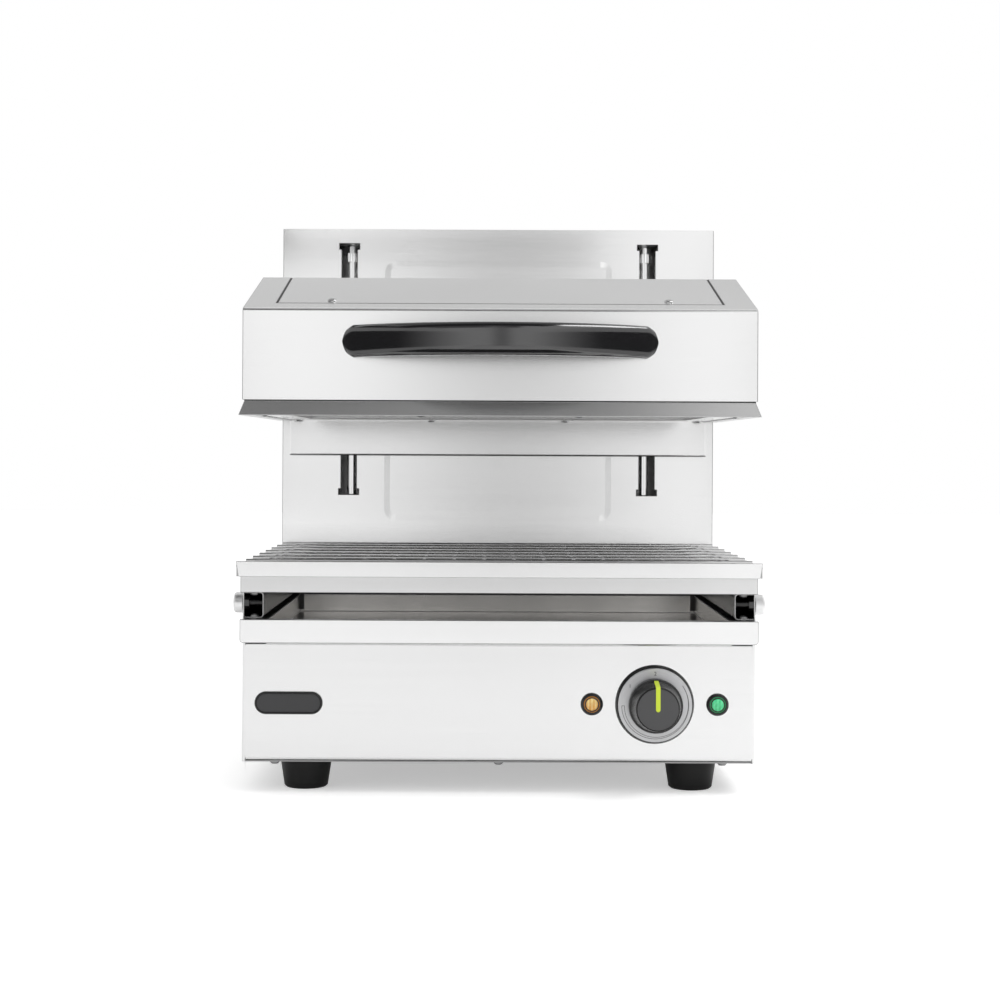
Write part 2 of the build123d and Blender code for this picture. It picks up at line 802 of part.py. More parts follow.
def skirt_solid(inset, low, high):
    """Flared block under the hood, open to the rear."""
    bottom_half = half + skirt_flare - inset
    top_half = inner - nest_gap - inset
    bottom_front = head_y - skirt_flare + inset
    top_front = head_y + sheet + nest_gap + inset
    rear = head_rear_y - sheet
    sections = []
    for z, reach, front in ((low, bottom_half, bottom_front), (high, top_half, top_front)):
        corners = [(-reach, front, z), (reach, front, z), (reach, rear, z), (-reach, rear, z)]
        sections.append(make_face(Polyline(*corners, close=True)))
    return loft(sections, ruled=True)


def head_skirt():
    """Flared skirt of the head: front and sides, with a hem and an upstand."""
    top = head_low_z - skirt_gap
    rear = head_rear_y - sheet
    reach = inner - nest_gap
    front = head_y + sheet + nest_gap
    skirt = skirt_solid(0, head_z, top)
    skirt += block(-reach, reach, front, rear, top, top + skirt_upstand)
    skirt -= skirt_solid(sheet, head_z, top)
    skirt -= block(-reach + sheet, reach - sheet, front + sheet, rear + cut_extra,
                   top - cut_extra, top + skirt_upstand + cut_extra)
    skirt -= block(-reach + sheet, reach - sheet, rear - sheet, rear + cut_extra, head_z - cut_extra, top)
    hem = skirt_solid(sheet / 2, head_z, top) & block(
        -half - cut_extra, half + cut_extra, head_y - skirt_flare - cut_extra, rear, head_z, rim_z)
    hem -= block(-inner + skirt_hem, inner - skirt_hem, head_y + skirt_hem, rear + cut_extra,
                 head_z - cut_extra, rim_z + cut_extra)
    return skirt + hem


def underside_frame():
    """Flat frame round the heating opening, on the hem of the skirt."""
    reach = inner - nest_gap - sheet
    front = head_y + 2 * sheet + nest_gap
    frame = block(-reach, reach, front, head_rear_y - sheet, rim_z, rim_top_z)
    frame -= block(-rim_half, rim_half, rim_front_y, rim_rear_y, rim_z - cut_extra, rim_top_z + cut_extra)
    for place in rim_screw_places():
        frame -= place * screw_hole(cut_extra)
    return frame


def rim_screw_places():
    """Screws up through the underside frame, front and rear."""
    rows = (rim_front_y - rim_screw_inset, rim_rear_y + rim_screw_inset)
    columns = (-rim_screw_x, -rim_screw_x / 3, rim_screw_x / 3, rim_screw_x)
    return [Pos(x, y, rim_z) * Rot(180, 0, 0) for y in rows for x in columns]


def reflector():
    """Polished pan over the heating elements, with a flange on the underside frame."""
    wall = thin_sheet
    pan = block(-rim_half - wall, rim_half + wall, rim_front_y - wall, rim_rear_y + wall,
                rim_top_z, reflector_z)
    flange = reflector_flange + wall
    pan += block(-rim_half - flange, rim_half + flange, rim_front_y - flange, rim_rear_y + flange,
                 rim_top_z, rim_top_z + wall)
    pan -= block(-rim_half, rim_half, rim_front_y, rim_rear_y, rim_top_z - cut_extra, reflector_z - wall)
    for x, y in element_ends():
        pan -= rod_z(x, y, tube_radius + tube_hole_gap, reflector_z - cut_extra, reflector_z + cut_extra)
    for place in rim_screw_places():
        pan -= place * screw_hole(cut_extra)
    return pan


def run_rows():
    """Y of each straight run, for the front and the rear element."""
    rows = [rim_front_y + tube_edge_gap + tube_pitch * index for index in range(2 * tube_runs)]
    return rows[:tube_runs], rows[tube_runs:]


def element_ends():
    """Places where the cold ends rise through the reflector."""
    ends = []
    for rows in run_rows():
        last_side = 1 if tube_runs % 2 == 0 else -1
        ends += [(tube_half, rows[0]), (last_side * tube_half, rows[-1])]
    return ends


def heating_element(rows):
    """Serpentine tubular element with upturned cold ends."""
    turn = tube_pitch / 2 - tube_turn_flat / 2
    side = 1
    points = [(tube_half, rows[0], tube_end_z), (tube_half, rows[0], tube_z)]
    for y in rows[:-1]:
        side = -side
        points += [(side * tube_half, y, tube_z), (side * tube_half, y + tube_pitch, tube_z)]
    side = -side
    points += [(side * tube_half, rows[-1], tube_z), (side * tube_half, rows[-1], tube_end_z)]
    radii = [tube_bend] + [turn] * (len(points) - 4) + [tube_bend]
    path = FilletPolyline(*points, radius=radii)
    section = Plane(origin=points[0], z_dir=(0, 0, -1)) * Circle(tube_radius)
    return sweep(section, path)


def element_hangers():
    """Strips under the reflector that the element runs pass through."""
    rows = run_rows()[0] + run_rows()[1]
    strips = []
    for x in (-hanger_x, hanger_x):
        strip = block(x - hanger_thick / 2, x + hanger_thick / 2, rows[0] - tube_radius - hanger_margin,
                      rows[-1] + tube_radius + hanger_margin, tube_z - tube_radius - hanger_margin / 2,
                      reflector_z - thin_sheet)
        for y in rows:
            strip -= rod_x(y, tube_z, tube_radius + nest_gap, x - hanger_thick, x + hanger_thick)
        strips.append(strip)
    return group(strips)


def insulation():
    """Mineral wool slab on the reflector."""
    slab = block(-rim_half, rim_half, rim_front_y, rim_rear_y, reflector_z, reflector_z + wool_height)
    for x, y in element_ends():
        slab -= rod_z(x, y, tube_radius + tube_hole_gap, reflector_z - cut_extra,
                      reflector_z + wool_height + cut_extra)
    return slab


def rear_apron():
    """Plate behind the head that covers the slots below it."""
    low = head_z - apron_drop
    back = head_rear_y + sheet
    apron = block(-apron_half, apron_half, head_rear_y, back, low, arm_high_z)
    return apron + block(-apron_half, apron_half, head_rear_y - apron_hem, back, low, low + sheet)


def head_screws():
    """Pan-head screws of the roof cover and the underside frame."""
    screws = [place * pan_screw(2 * sheet + screw_end) for place in cover_screw_places()]
    screws += [place * pan_screw(sheet + thin_sheet + screw_end) for place in rim_screw_places()]
    return group(screws)


def handle_radius():
    """Radius of the bow in plan."""
    return (handle_half ** 2 + handle_bow ** 2) / (2 * handle_bow)


def handle():
    """Bow handle: a bevelled section turned about an upright axis, with round ends."""
    radius = handle_radius()
    axis_y = head_y - handle_bow + radius
    half_height = handle_height / 2
    back = axis_y - radius + handle_thick
    edge = axis_y - radius + handle_bevel
    face = axis_y - radius
    lower = [(back, -half_height), (edge, -half_height), (face, -handle_flat / 2)]
    upper = [(y, -z) for y, z in reversed(lower)]
    points = [(y, handle_z + z) for y, z in lower + upper]
    section = Plane.YZ * make_face(Polyline(*points, close=True))
    section = fillet(section.vertices(), handle_round)
    bow = revolve(section, Axis((0, axis_y, 0), (0, 0, 1)))
    outline = front_plane(0, head_y, handle_z) * SlotOverall(2 * handle_half, handle_height + handle_round)
    bow &= extrude(outline, handle_bow + cut_extra)
    bore_y = head_y - handle_screw_depth - nest_gap
    for x in (-handle_screw_x, handle_screw_x):
        bow -= rod_y(x, handle_z, screw_radius + nest_gap, bore_y, head_y + cut_extra)
    return bow


def handle_screws():
    """Screws from inside the hood into the ends of the handle."""
    screw = Rot(-90, 0, 0) * pan_screw(sheet + handle_screw_depth)
    return group(Pos(x, head_y + sheet, handle_z) * screw for x in (-handle_screw_x, handle_screw_x))


def lift_arms():
    """Arms from the head through the slots to the carriages."""
    foot_y = head_rear_y + sheet
    carriage_y = guide_y - carriage_half_y
    arm = block(slot_x - arm_half, slot_x + arm_half, foot_y, carriage_y, arm_low_z, arm_high_z)
    arm += block(slot_x - arm_foot_half, slot_x + arm_foot_half, foot_y, foot_y + arm_foot_thick,
                 arm_low_z, arm_high_z)
    return group([arm, mirrored(arm)])


def carriages():
    """Blocks that hold the bushes on the guide rods."""
    bush_radius = rod_radius + run_gap + bush_wall
    body = block(guide_x - carriage_half_x, guide_x + carriage_half_x,
                 guide_y - carriage_half_y, guide_y + carriage_half_y, arm_low_z, arm_high_z)
    body -= rod_z(guide_x, guide_y, bush_radius + run_gap, arm_low_z - cut_extra, arm_high_z + cut_extra)
    return group([body, mirrored(body)])


def guide_bushes():
    """Plain bushes at both ends of each carriage."""
    bush_radius = rod_radius + run_gap + bush_wall
    bushes = []
    for low in (arm_low_z, arm_high_z - bush_length):
        high = low + bush_length
        bush = rod_z(guide_x, guide_y, bush_radius, low, high)
        bush -= rod_z(guide_x, guide_y, rod_radius + run_gap, low - cut_extra, high + cut_extra)
        bushes += [bush, mirrored(bush)]
    return group(bushes)


def carriage_bar():
    """Bar that ties both carriages together."""
    reach = guide_x - carriage_half_x
    return block(-reach, reach, guide_y - bar_half_y, guide_y + bar_half_y,
                 bar_low_z, bar_low_z + bar_height)


def gas_spring_rod():
    """Piston and rod of the gas spring, under the carriage bar."""
    low = floor_z + gas_bracket_height + gas_floor + gas_piston_rise + lift_down
    piston = rod_z(0, guide_y, gas_radius - gas_wall - run_gap, low, low + gas_piston_height)
    return piston + rod_z(0, guide_y, gas_rod_radius, low, bar_low_z)


# Tray and grid

def drip_tray():
    """Sliding tray with a wide folded front lip."""
    low = panel_top_z + seat_gap
    high = lip_top_z - tray_wall_drop
    front = panel_y - lip_overhang
    lip_half = half + lip_ear
    inside = tray_half - thin_sheet
    tray = block(-tray_half, tray_half, front + lip_return, tray_rear_y, low, high)
    tray -= block(-inside, inside, front - cut_extra, tray_rear_y - thin_sheet,
                  low + thin_sheet, high + cut_extra)
    gap_x = inside - tray_corner_gap
    for x in (-gap_x - tray_corner_gap, gap_x):
        tray -= block(x, x + tray_corner_gap, tray_rear_y - thin_sheet - cut_extra, tray_rear_y + cut_extra,
                      low + thin_sheet + tray_corner_foot, high + cut_extra)
    lip = block(-lip_half, lip_half, front, front + lip_return, panel_top_z, lip_top_z)
    lip = fillet(lip.edges().filter_by(Axis.Y).group_by(Axis.Z)[0], lip_corner)
    lip_inside = lip_half - thin_sheet
    lip -= block(-lip_inside, lip_inside, front + thin_sheet, front + lip_return + cut_extra,
                 low + thin_sheet, lip_top_z - thin_sheet)
    return tray + lip


def wire_rows():
    """Y of each cross wire of the grid."""
    first = opening_front_y + sheet + bar_clear + bar_end
    last = opening_rear_y - bar_clear - bar_end
    return [first + (last - first) * index / (wire_count - 1) for index in range(wire_count)]


def wire_grid():
    """Welded grid: cross wires resting on the frame, on bars inside its opening."""
    rows = wire_rows()
    reach = opening_half - bar_clear - bar_radius
    wires = [rod_x(y, wire_z, wire_radius, -wire_half, wire_half) for y in rows]
    bars = []
    for index in range(bar_count):
        x = -reach + 2 * reach * index / (bar_count - 1)
        bars.append(rod_y(x, bar_z, bar_radius, rows[0] - bar_end, rows[-1] + bar_end))
    return Part() + bars + wires


# Controls

def dial_bezel():
    """Black tapered ring under the dial, round the bushing."""
    bore = bushing_radius + nest_gap
    points = [(bore, 0), (dial_ring_radius, 0), (dial_ring_radius - dial_ring_taper, dial_ring_height),
              (bore, dial_ring_height)]
    return revolved_front(points, dial_x, panel_y, dial_z)


def dial_plate():
    """Dial disc on the ring."""
    radius = dial_ring_radius - dial_ring_taper - dial_plate_inset
    disc = rod_y(dial_x, dial_z, radius, dial_face_y, dial_ring_y)
    return disc - rod_y(dial_x, dial_z, bushing_radius + nest_gap,
                        dial_face_y - cut_extra, dial_ring_y + cut_extra)


def knob_body(grow):
    """Turned outside of the knob, with an allowance on every face."""
    top = knob_height + grow
    step = knob_skirt_radius - knob_step + grow
    face = knob_face_radius + grow
    points = [(0, 0), (knob_skirt_radius, 0), (knob_skirt_radius, knob_skirt_height),
              (step, knob_skirt_height), (face, top - knob_edge), (face - knob_edge, top), (0, top)]
    return revolved_front(points, dial_x, knob_back_y, dial_z)


def knob():
    """Control knob with a skirt, a tapered grip and a bore for the spindle."""
    body = knob_body(0)
    return body - rod_y(dial_x, dial_z, spindle_radius + run_gap,
                        knob_back_y - knob_bore_depth, knob_back_y + cut_extra)


def knob_pointer():
    """Raised pointer line, from the middle of the face over the edge and down the grip."""
    strip = knob_body(pointer_proud) - knob_body(0)
    length = knob_skirt_radius + pointer_half
    place = front_plane(dial_x, knob_back_y - knob_skirt_height, dial_z + length / 2 - pointer_half)
    return strip & extrude(place * SlotOverall(length, 2 * pointer_half, rotation=90), knob_height)


def knob_shaft():
    """Spindle of the regulator."""
    inner_end = panel_y + sheet + regulator_depth / 2
    return rod_y(dial_x, dial_z, spindle_radius, knob_back_y - knob_bore_depth, inner_end)


def regulator_body():
    """Energy regulator behind the front panel, with its bushing through it."""
    size = regulator_size / 2
    box = block(dial_x - size, dial_x + size, panel_y + sheet, panel_y + sheet + regulator_depth,
                dial_z - size, dial_z + size)
    box += rod_y(dial_x, dial_z, bushing_radius, dial_face_y, panel_y + 2 * sheet)
    return box - rod_y(dial_x, dial_z, spindle_radius + run_gap, dial_face_y - cut_extra,
                       panel_y + sheet + regulator_depth / 2)


def lamp_ring(x):
    """Lamp housing: ring on the panel and body behind it."""
    ring = rod_y(x, dial_z, lamp_ring_radius, panel_y - lamp_ring_height, panel_y)
    ring = chamfer(ring.edges().group_by(Axis.Y)[0], lamp_ring_height / 2)
    ring += rod_y(x, dial_z, lamp_body_radius, panel_y, panel_y + lamp_body_depth)
    mouth_y = panel_y - lamp_ring_height - cut_extra
    return ring - rod_y(x, dial_z, lamp_lens_radius + run_gap, mouth_y, panel_y)


def lamp_lens(x):
    """Domed lens seated in the ring."""
    lens = rod_y(x, dial_z, lamp_lens_radius, panel_y - lamp_lens_height, panel_y)
    return chamfer(lens.edges().group_by(Axis.Y)[0], lamp_lens_edge)


def badge_plate():
    """Bare plate with a raised rim."""
    place = front_plane(badge_x, panel_y, dial_z)
    plate = extrude(place * SlotOverall(badge_length, badge_height), badge_thick)
    field = front_plane(badge_x, panel_y - badge_thick + badge_recess, dial_z)
    field *= SlotOverall(badge_length - 2 * badge_rim, badge_height - 2 * badge_rim)
    return plate - extrude(field, cut_extra)


# Supply

def cable_gland():
    """Inlet gland through the rear panel."""
    z = base_z + gland_rise
    inside = rear_y - sheet - gland_inside
    flange = rear_y + gland_flange_height
    body = rod_y(gland_x, z, gland_thread_radius, inside, rear_y)
    body += rod_y(gland_x, z, gland_flange_radius, rear_y, flange)
    dome_height = gland_reach - gland_flange_height
    dome = Cone(gland_flange_radius, gland_tip_radius, dome_height)
    body += Pos(gland_x, flange + dome_height / 2, z) * Rot(-90, 0, 0) * dome
    return body - rod_y(gland_x, z, gland_bore, inside - cut_extra, rear_y + gland_reach + cut_extra)


def gland_nut():
    """Lock nut of the gland inside the base."""
    nut = hexagon(gland_nut_flats, gland_nut_height)
    nut -= rod_z(0, 0, gland_thread_radius + run_gap, -cut_extra, gland_nut_height + cut_extra)
    return Pos(gland_x, rear_y - sheet, base_z + gland_rise) * Rot(90, 0, 0) * nut


def terminal_block():
    """Supply terminals on the bottom plate, in front of the inlet."""
    rear = rear_y - foot_end_inset - foot_bolt_head_flats - block_gap
    top = floor_z + block_height
    body = block(gland_x - block_length / 2, gland_x + block_length / 2, rear - block_depth, rear,
                 floor_z, top)
    for index in range(block_poles):
        x = gland_x + block_length * ((index + 0.5) / block_poles - 0.5)
        body -= rod_z(x, rear - block_depth / 2, block_pole_radius, top - block_pole_depth, top + cut_extra)
    return body


# Every piece by name
pieces = {
    "base_housing": base_housing(),
    "base_bottom": base_bottom(),
    "base_rear_panel": base_rear_panel(),
    "tray_shelf": tray_shelf(),
    "side_channel_right": side_channel(),
    "side_channel_left": mirrored(side_channel()),
    "side_bolts": side_bolts(),
    "side_bolt_nuts": side_bolt_nuts(),
    "front_crossbar": front_crossbar(),
    "top_frame": top_frame(),
    "foot_bolts": foot_bolts(),
    "body_screws": body_screws(),
    "back_panel": back_panel(),
    "column_cover": column_cover(),
    "guide_rod_right": guide_rod(),
    "guide_rod_left": mirrored(guide_rod()),
    "rod_bracket_lower": rod_bracket(frame_top_z + sheet, gas_hole=True),
    "rod_bracket_upper": rod_bracket(slot_high_z + bracket_lift, gas_hole=False),
    "stop_collars": stop_collars(),
    "gas_spring_bracket": gas_spring_bracket(),
    "gas_spring_cylinder": gas_spring_cylinder(),
    "head_shell": head_shell(),
    "head_top_cover": head_top_cover(),
    "head_skirt": head_skirt(),
    "underside_frame": underside_frame(),
    "reflector": reflector(),
    "insulation": insulation(),
    "element_front": heating_element(run_rows()[0]),
    "element_rear": heating_element(run_rows()[1]),
    "element_hangers": element_hangers(),
    "rear_apron": rear_apron(),
    "head_screws": head_screws(),
    "handle": handle(),
    "handle_screws": handle_screws(),
    "lift_arms": lift_arms(),
    "carriages": carriages(),
    "guide_bushes": guide_bushes(),
    "carriage_bar": carriage_bar(),
    "gas_spring_rod": gas_spring_rod(),
    "drip_tray": drip_tray(),
    "wire_grid": wire_grid(),
    "dial_bezel": dial_bezel(),
    "dial_plate": dial_plate(),
    "knob": knob(),
    "knob_pointer": knob_pointer(),
    "knob_shaft": knob_shaft(),
    "regulator_body": regulator_body(),
    "lamp_ring_amber": lamp_ring(amber_x),
    "lamp_lens_amber": lamp_lens(amber_x),
    "lamp_ring_green": lamp_ring(green_x),
    "lamp_lens_green": lamp_lens(green_x),
    "badge_plate": badge_plate(),
    "cable_gland": cable_gland(),
    "gland_nut": gland_nut(),
    "terminal_block": terminal_block(),
}
for name, (x, y) in foot_places().items():
    pieces[name] = rubber_foot(x, y)

os.makedirs("parts", exist_ok=True)
for name, piece in pieces.items():
    export_step(piece, f"parts/{name}.step")
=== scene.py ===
import json
import math

import bmesh
import bpy
from mathutils import Matrix, Vector


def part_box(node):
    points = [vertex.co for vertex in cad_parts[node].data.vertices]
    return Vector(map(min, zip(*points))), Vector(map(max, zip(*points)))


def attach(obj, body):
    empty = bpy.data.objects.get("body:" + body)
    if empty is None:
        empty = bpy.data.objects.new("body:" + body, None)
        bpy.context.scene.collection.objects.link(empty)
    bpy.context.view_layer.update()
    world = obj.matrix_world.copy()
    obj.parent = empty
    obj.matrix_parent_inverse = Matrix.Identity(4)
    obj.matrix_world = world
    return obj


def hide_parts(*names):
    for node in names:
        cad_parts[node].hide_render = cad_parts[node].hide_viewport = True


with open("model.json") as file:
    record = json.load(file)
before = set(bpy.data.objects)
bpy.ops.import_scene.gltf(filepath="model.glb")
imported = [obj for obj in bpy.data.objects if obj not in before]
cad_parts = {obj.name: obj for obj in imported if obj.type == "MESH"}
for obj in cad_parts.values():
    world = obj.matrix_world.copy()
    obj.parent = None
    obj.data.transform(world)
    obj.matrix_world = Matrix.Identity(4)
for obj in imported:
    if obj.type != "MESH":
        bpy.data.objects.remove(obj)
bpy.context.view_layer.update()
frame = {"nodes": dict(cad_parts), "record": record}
scene = bpy.context.scene
MM = 0.001
WHITE = (1, 1, 1, 1)

# Camera of the photograph, level, in metres and in pixels of a square picture
PICTURE = 1000
FOCAL_PIXELS = 1927
VANISHING_X = 487
VANISHING_Y = 449
SENSOR_MM = 36
CAMERA_X = -0.011
CAMERA_Z = 0.2954
CAMERA_DISTANCE = 1.650          # from the front panel
CAMERA_ROLL = -0.0045            # radians, the picture leans to the right

# Floor and surround: tones, and the lift that turns the floor white where no shadow falls
FLOOR_SIZE = 14
FLOOR_TONE = 0.86
FLOOR_GRAIN = 0.01
FLOOR_LIFT = 0.43                # for the camera
FLOOR_SHINE = 0.10               # for shiny surfaces
WORLD_FILL = 0.85                # strength of the surround on surfaces that are not shiny
CARD_BLACK = 0.03

# Sizes of the head that its box doesn't give
HOOD_HEIGHT = 117.6 * MM         # from the hood's lower edge to its roof
ROOF_RISE = 39.2 * MM            # height and depth of the roof's slope
ROOF_RUN = 149.0 * MM
ROOF_TILT = math.atan2(ROOF_RISE, ROOF_RUN)
SKIRT_GAP = 1.0 * MM             # open joint over the skirt
APRON_LINE = 1.0 * MM            # painted shade along the foot of the rear apron

# Lamp lens
LENS_RADIUS = 7.0 * MM
LENS_CORE = 5.2 * MM
RIB_PITCH = 3.2 * MM

# Edge radii, and limits used on meshes
SHEET_EDGE = 0.5 * MM
MOULDED_EDGE = 0.6 * MM
EDGE_SEGMENTS = 3
EDGE_ANGLE = math.radians(40)
FLAT_ANGLE = math.radians(0.5)
SMOOTH_ANGLE = math.radians(35)
WELD_DISTANCE = 1e-6
PRINT_THICK = 0.04 * MM

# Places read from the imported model
panel_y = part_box("base_housing")[0].y
body_side_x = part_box("base_housing")[1].x
dial_low, dial_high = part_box("dial_bezel")
dial_x = (dial_low.x + dial_high.x) / 2
dial_z = (dial_low.z + dial_high.z) / 2
dial_face_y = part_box("dial_plate")[0].y
channel_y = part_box("side_channel_left")[0].y
badge_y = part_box("badge_plate")[0].y
knob_face_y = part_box("knob")[0].y
knob_back_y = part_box("knob")[1].y
cover_low, cover_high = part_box("head_top_cover")
hood_low, hood_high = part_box("head_shell")
hood_low_z = hood_high.z - HOOD_HEIGHT
apron_low_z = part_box("rear_apron")[0].z
grid_top_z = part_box("wire_grid")[1].z
lens_places = {}
for lamp in ("amber", "green"):
    lens_low, lens_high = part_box(f"lamp_lens_{lamp}")
    lens_places[lamp] = ((lens_low.x + lens_high.x) / 2, lens_high.y, (lens_low.z + lens_high.z) / 2)


# Node helpers

MIX_SHARE = 0                    # socket numbers of the mix node
MIX_NUMBERS = (2, 3)
MIX_COLORS = (6, 7)
MIX_COLOR_OUT = 2
RELIEF_DEPTH = 0.2 * MM


def principled(name, color, roughness, **sockets):
    """Material whose constants sit on the shader's own sockets."""
    made = bpy.data.materials.new(name)
    made.use_nodes = True
    shader = made.node_tree.nodes["Principled BSDF"]
    shader.inputs["Base Color"].default_value = (*color, 1)
    shader.inputs["Roughness"].default_value = roughness
    for socket, value in sockets.items():
        shader.inputs[socket.replace("_", " ")].default_value = value
    return made, made.node_tree, shader


def add(tree, kind, **properties):
    """New node with its properties set."""
    node = tree.nodes.new(kind)
    for key, value in properties.items():
        setattr(node, key, value)
    return node


def feed(tree, socket, value):
    """Give a socket a plain number, a fixed colour or another socket's value."""
    if isinstance(value, (int, float)):
        socket.default_value = value
    elif isinstance(value, tuple):
        socket.default_value = (*value, 1)
    else:
        tree.links.new(value, socket)


def math_node(tree, operation, first, second=None):
    """Arithmetic on sockets or plain numbers."""
    node = add(tree, "ShaderNodeMath", operation=operation)
    feed(tree, node.inputs[0], first)
    if second is not None:
        feed(tree, node.inputs[1], second)
    return node.outputs[0]


def weighted_sum(tree, *terms):
    """Sum of sockets, each with its weight."""
    total = None
    for value, weight in terms:
        part = math_node(tree, "MULTIPLY", value, weight)
        total = part if total is None else math_node(tree, "ADD", total, part)
    return total


def clamped(tree, value):
    """Value held between 0 and 1."""
    node = add(tree, "ShaderNodeClamp")
    tree.links.new(value, node.inputs[0])
    return node.outputs[0]


def mix_value(tree, share, low, high):
    """Number between two sockets or plain numbers."""
    node = add(tree, "ShaderNodeMix", data_type="FLOAT")
    for place, value in zip((MIX_SHARE, *MIX_NUMBERS), (share, low, high)):
        feed(tree, node.inputs[place], value)
    return node.outputs[0]


def mix_color(tree, share, low, high):
    """Colour between two colours, each fixed or a socket."""
    node = add(tree, "ShaderNodeMix", data_type="RGBA")
    for place, value in zip((MIX_SHARE, *MIX_COLORS), (share, low, high)):
        feed(tree, node.inputs[place], value)
    return node.outputs[MIX_COLOR_OUT]


def vary_color(tree, shader, share, low, high):
    """Let the shader's colour vary between two colours."""
    tree.links.new(mix_color(tree, share, low, high), shader.inputs["Base Color"])


def vary_roughness(tree, shader, share, low, high):
    """Let the shader's roughness vary between two numbers."""
    tree.links.new(mix_value(tree, share, low, high), shader.inputs["Roughness"])


def shade(color, share):
    """Colour made darker or lighter, no brighter than white."""
    return tuple(min(1.0, channel * share) for channel in color)


def combine(tree, x, y, z=0.0):
    """Vector from sockets or plain numbers."""
    node = add(tree, "ShaderNodeCombineXYZ")
    for socket, value in zip(node.inputs, (x, y, z)):
        feed(tree, socket, value)
    return node.outputs[0]


def unit(tree, x, y, z):
    """Vector of length 1 from sockets."""
    node = add(tree, "ShaderNodeVectorMath", operation="NORMALIZE")
    tree.links.new(combine(tree, x, y, z), node.inputs[0])
    return node.outputs[0]


def split(tree, vector):
    """X, Y and Z of a vector."""
    node = add(tree, "ShaderNodeSeparateXYZ")
    tree.links.new(vector, node.inputs[0])
    return node.outputs


def object_place(tree):
    """Place in the piece's own frame."""
    return add(tree, "ShaderNodeTexCoord").outputs["Object"]


def object_axes(tree):
    """X, Y and Z in the piece's own frame."""
    return split(tree, object_place(tree))


def facing_axes(tree):
    """X, Y and Z of the face's normal."""
    return split(tree, add(tree, "ShaderNodeNewGeometry").outputs["Normal"])


def polar(tree, center_x, center_z):
    """Radius and angle round an axis along Y."""
    x, y, z = object_axes(tree)
    across = math_node(tree, "SUBTRACT", x, center_x)
    up = math_node(tree, "SUBTRACT", z, center_z)
    squares = math_node(tree, "ADD", math_node(tree, "MULTIPLY", across, across),
                        math_node(tree, "MULTIPLY", up, up))
    return math_node(tree, "SQRT", squares), math_node(tree, "ARCTAN2", up, across)


def noise(tree, vector, scale, detail):
    """Noise value between about 0 and 1."""
    node = add(tree, "ShaderNodeTexNoise")
    node.inputs["Scale"].default_value = scale
    node.inputs["Detail"].default_value = detail
    tree.links.new(vector, node.inputs["Vector"])
    return node.outputs[0]


def stretched_noise(tree, along, across, repeats, detail):
    """Noise drawn out along one direction, with its repeats along and across it."""
    return noise(tree, combine(tree, math_node(tree, "MULTIPLY", along, repeats[0]),
                               math_node(tree, "MULTIPLY", across, repeats[1])), 1.0, detail)


def bump(tree, shader, height, strength, normal=None):
    """Relief from a height socket, on the face's own normal or a given one."""
    node = add(tree, "ShaderNodeBump")
    node.inputs["Strength"].default_value = strength
    node.inputs["Distance"].default_value = RELIEF_DEPTH
    tree.links.new(height, node.inputs["Height"])
    if normal is not None:
        tree.links.new(normal, node.inputs["Normal"])
    tree.links.new(node.outputs[0], shader.inputs["Normal"])


def brush_round(tree, shader, axis):
    """Let the brush marks run round an axis."""
    tangent = add(tree, "ShaderNodeTangent", direction_type="RADIAL", axis=axis)
    tree.links.new(tangent.outputs[0], shader.inputs["Tangent"])


def ramp(tree, share, stops):
    """Colour along a list of (position, colour) stops."""
    node = add(tree, "ShaderNodeValToRGB")
    elements = node.color_ramp.elements
    while len(elements) < len(stops):
        elements.new(1.0)
    for element, (position, color) in zip(elements, stops):
        element.position = position
        element.color = (*color, 1)
    tree.links.new(share, node.inputs[0])
    return node.outputs[0]


# Materials

BRUSH_TURN = 0.25                # a quarter turn of the anisotropic shine
HAIRS = (12, 1900)               # brush hairs and streaks per metre, along and across
STREAKS = (3, 170)
HAIR_SHARE = 0.6
STEEL_SHADES = (0.93, 1.05)
STEEL_WEAR = 0.03
STEEL_RELIEF = 0.05
LEVEL_FACE = 0.6                 # a face counts as level when its normal rises more than this
SHADE_RUN = 2.5 * MM             # depth over which bare steel turns into painted shade
JOINT_SHADE_RUN = 0.3 * MM               # and over which steel at a joint turns into painted shade
# tint, mottle and contrast of the painted shade
SHADE_TINT = (1.0, 0.98, 0.95)
SHADE_CLOUD = 35
SHADE_CONTRAST = 1.3
FOOT_RUN = 70 * MM               # height over which the back panel's shade leans back
FOOT_LEAN = 0.05


def brush_grain(tree):
    """Fine hairs alone and mixed with broader streaks, level round upright faces."""
    x, y, z = object_axes(tree)
    steepness = math_node(tree, "ABSOLUTE", facing_axes(tree)[2])
    level = math_node(tree, "GREATER_THAN", steepness, LEVEL_FACE)
    along = mix_value(tree, level, math_node(tree, "ADD", x, y), x)
    across = mix_value(tree, level, z, y)
    hairs = stretched_noise(tree, along, across, HAIRS, detail=3.0)
    streaks = stretched_noise(tree, along, across, STREAKS, detail=2.0)
    return hairs, weighted_sum(tree, (hairs, HAIR_SHARE), (streaks, 1 - HAIR_SHARE))


def painted_shade_past(tree, color, tone, axis, start, share):
    """Colour that turns dark past a place on an axis: painted shade inside channels and the tray and along
    joints, with a faint mottle.
    """
    x, y, z = object_axes(tree)
    way = {"Y": y, "Z": z, "-Z": math_node(tree, "MULTIPLY", z, -1)}[axis]
    run = SHADE_RUN if axis == "Y" else JOINT_SHADE_RUN
    depth = math_node(tree, "DIVIDE", math_node(tree, "SUBTRACT", way, start), run)
    cloud = noise(tree, object_place(tree), SHADE_CLOUD, detail=3.0)
    painted_shade = shade(SHADE_TINT, tone * share)
    dark = mix_color(tree, cloud, painted_shade, shade(painted_shade, SHADE_CONTRAST))
    return mix_color(tree, clamped(tree, depth), color, dark)


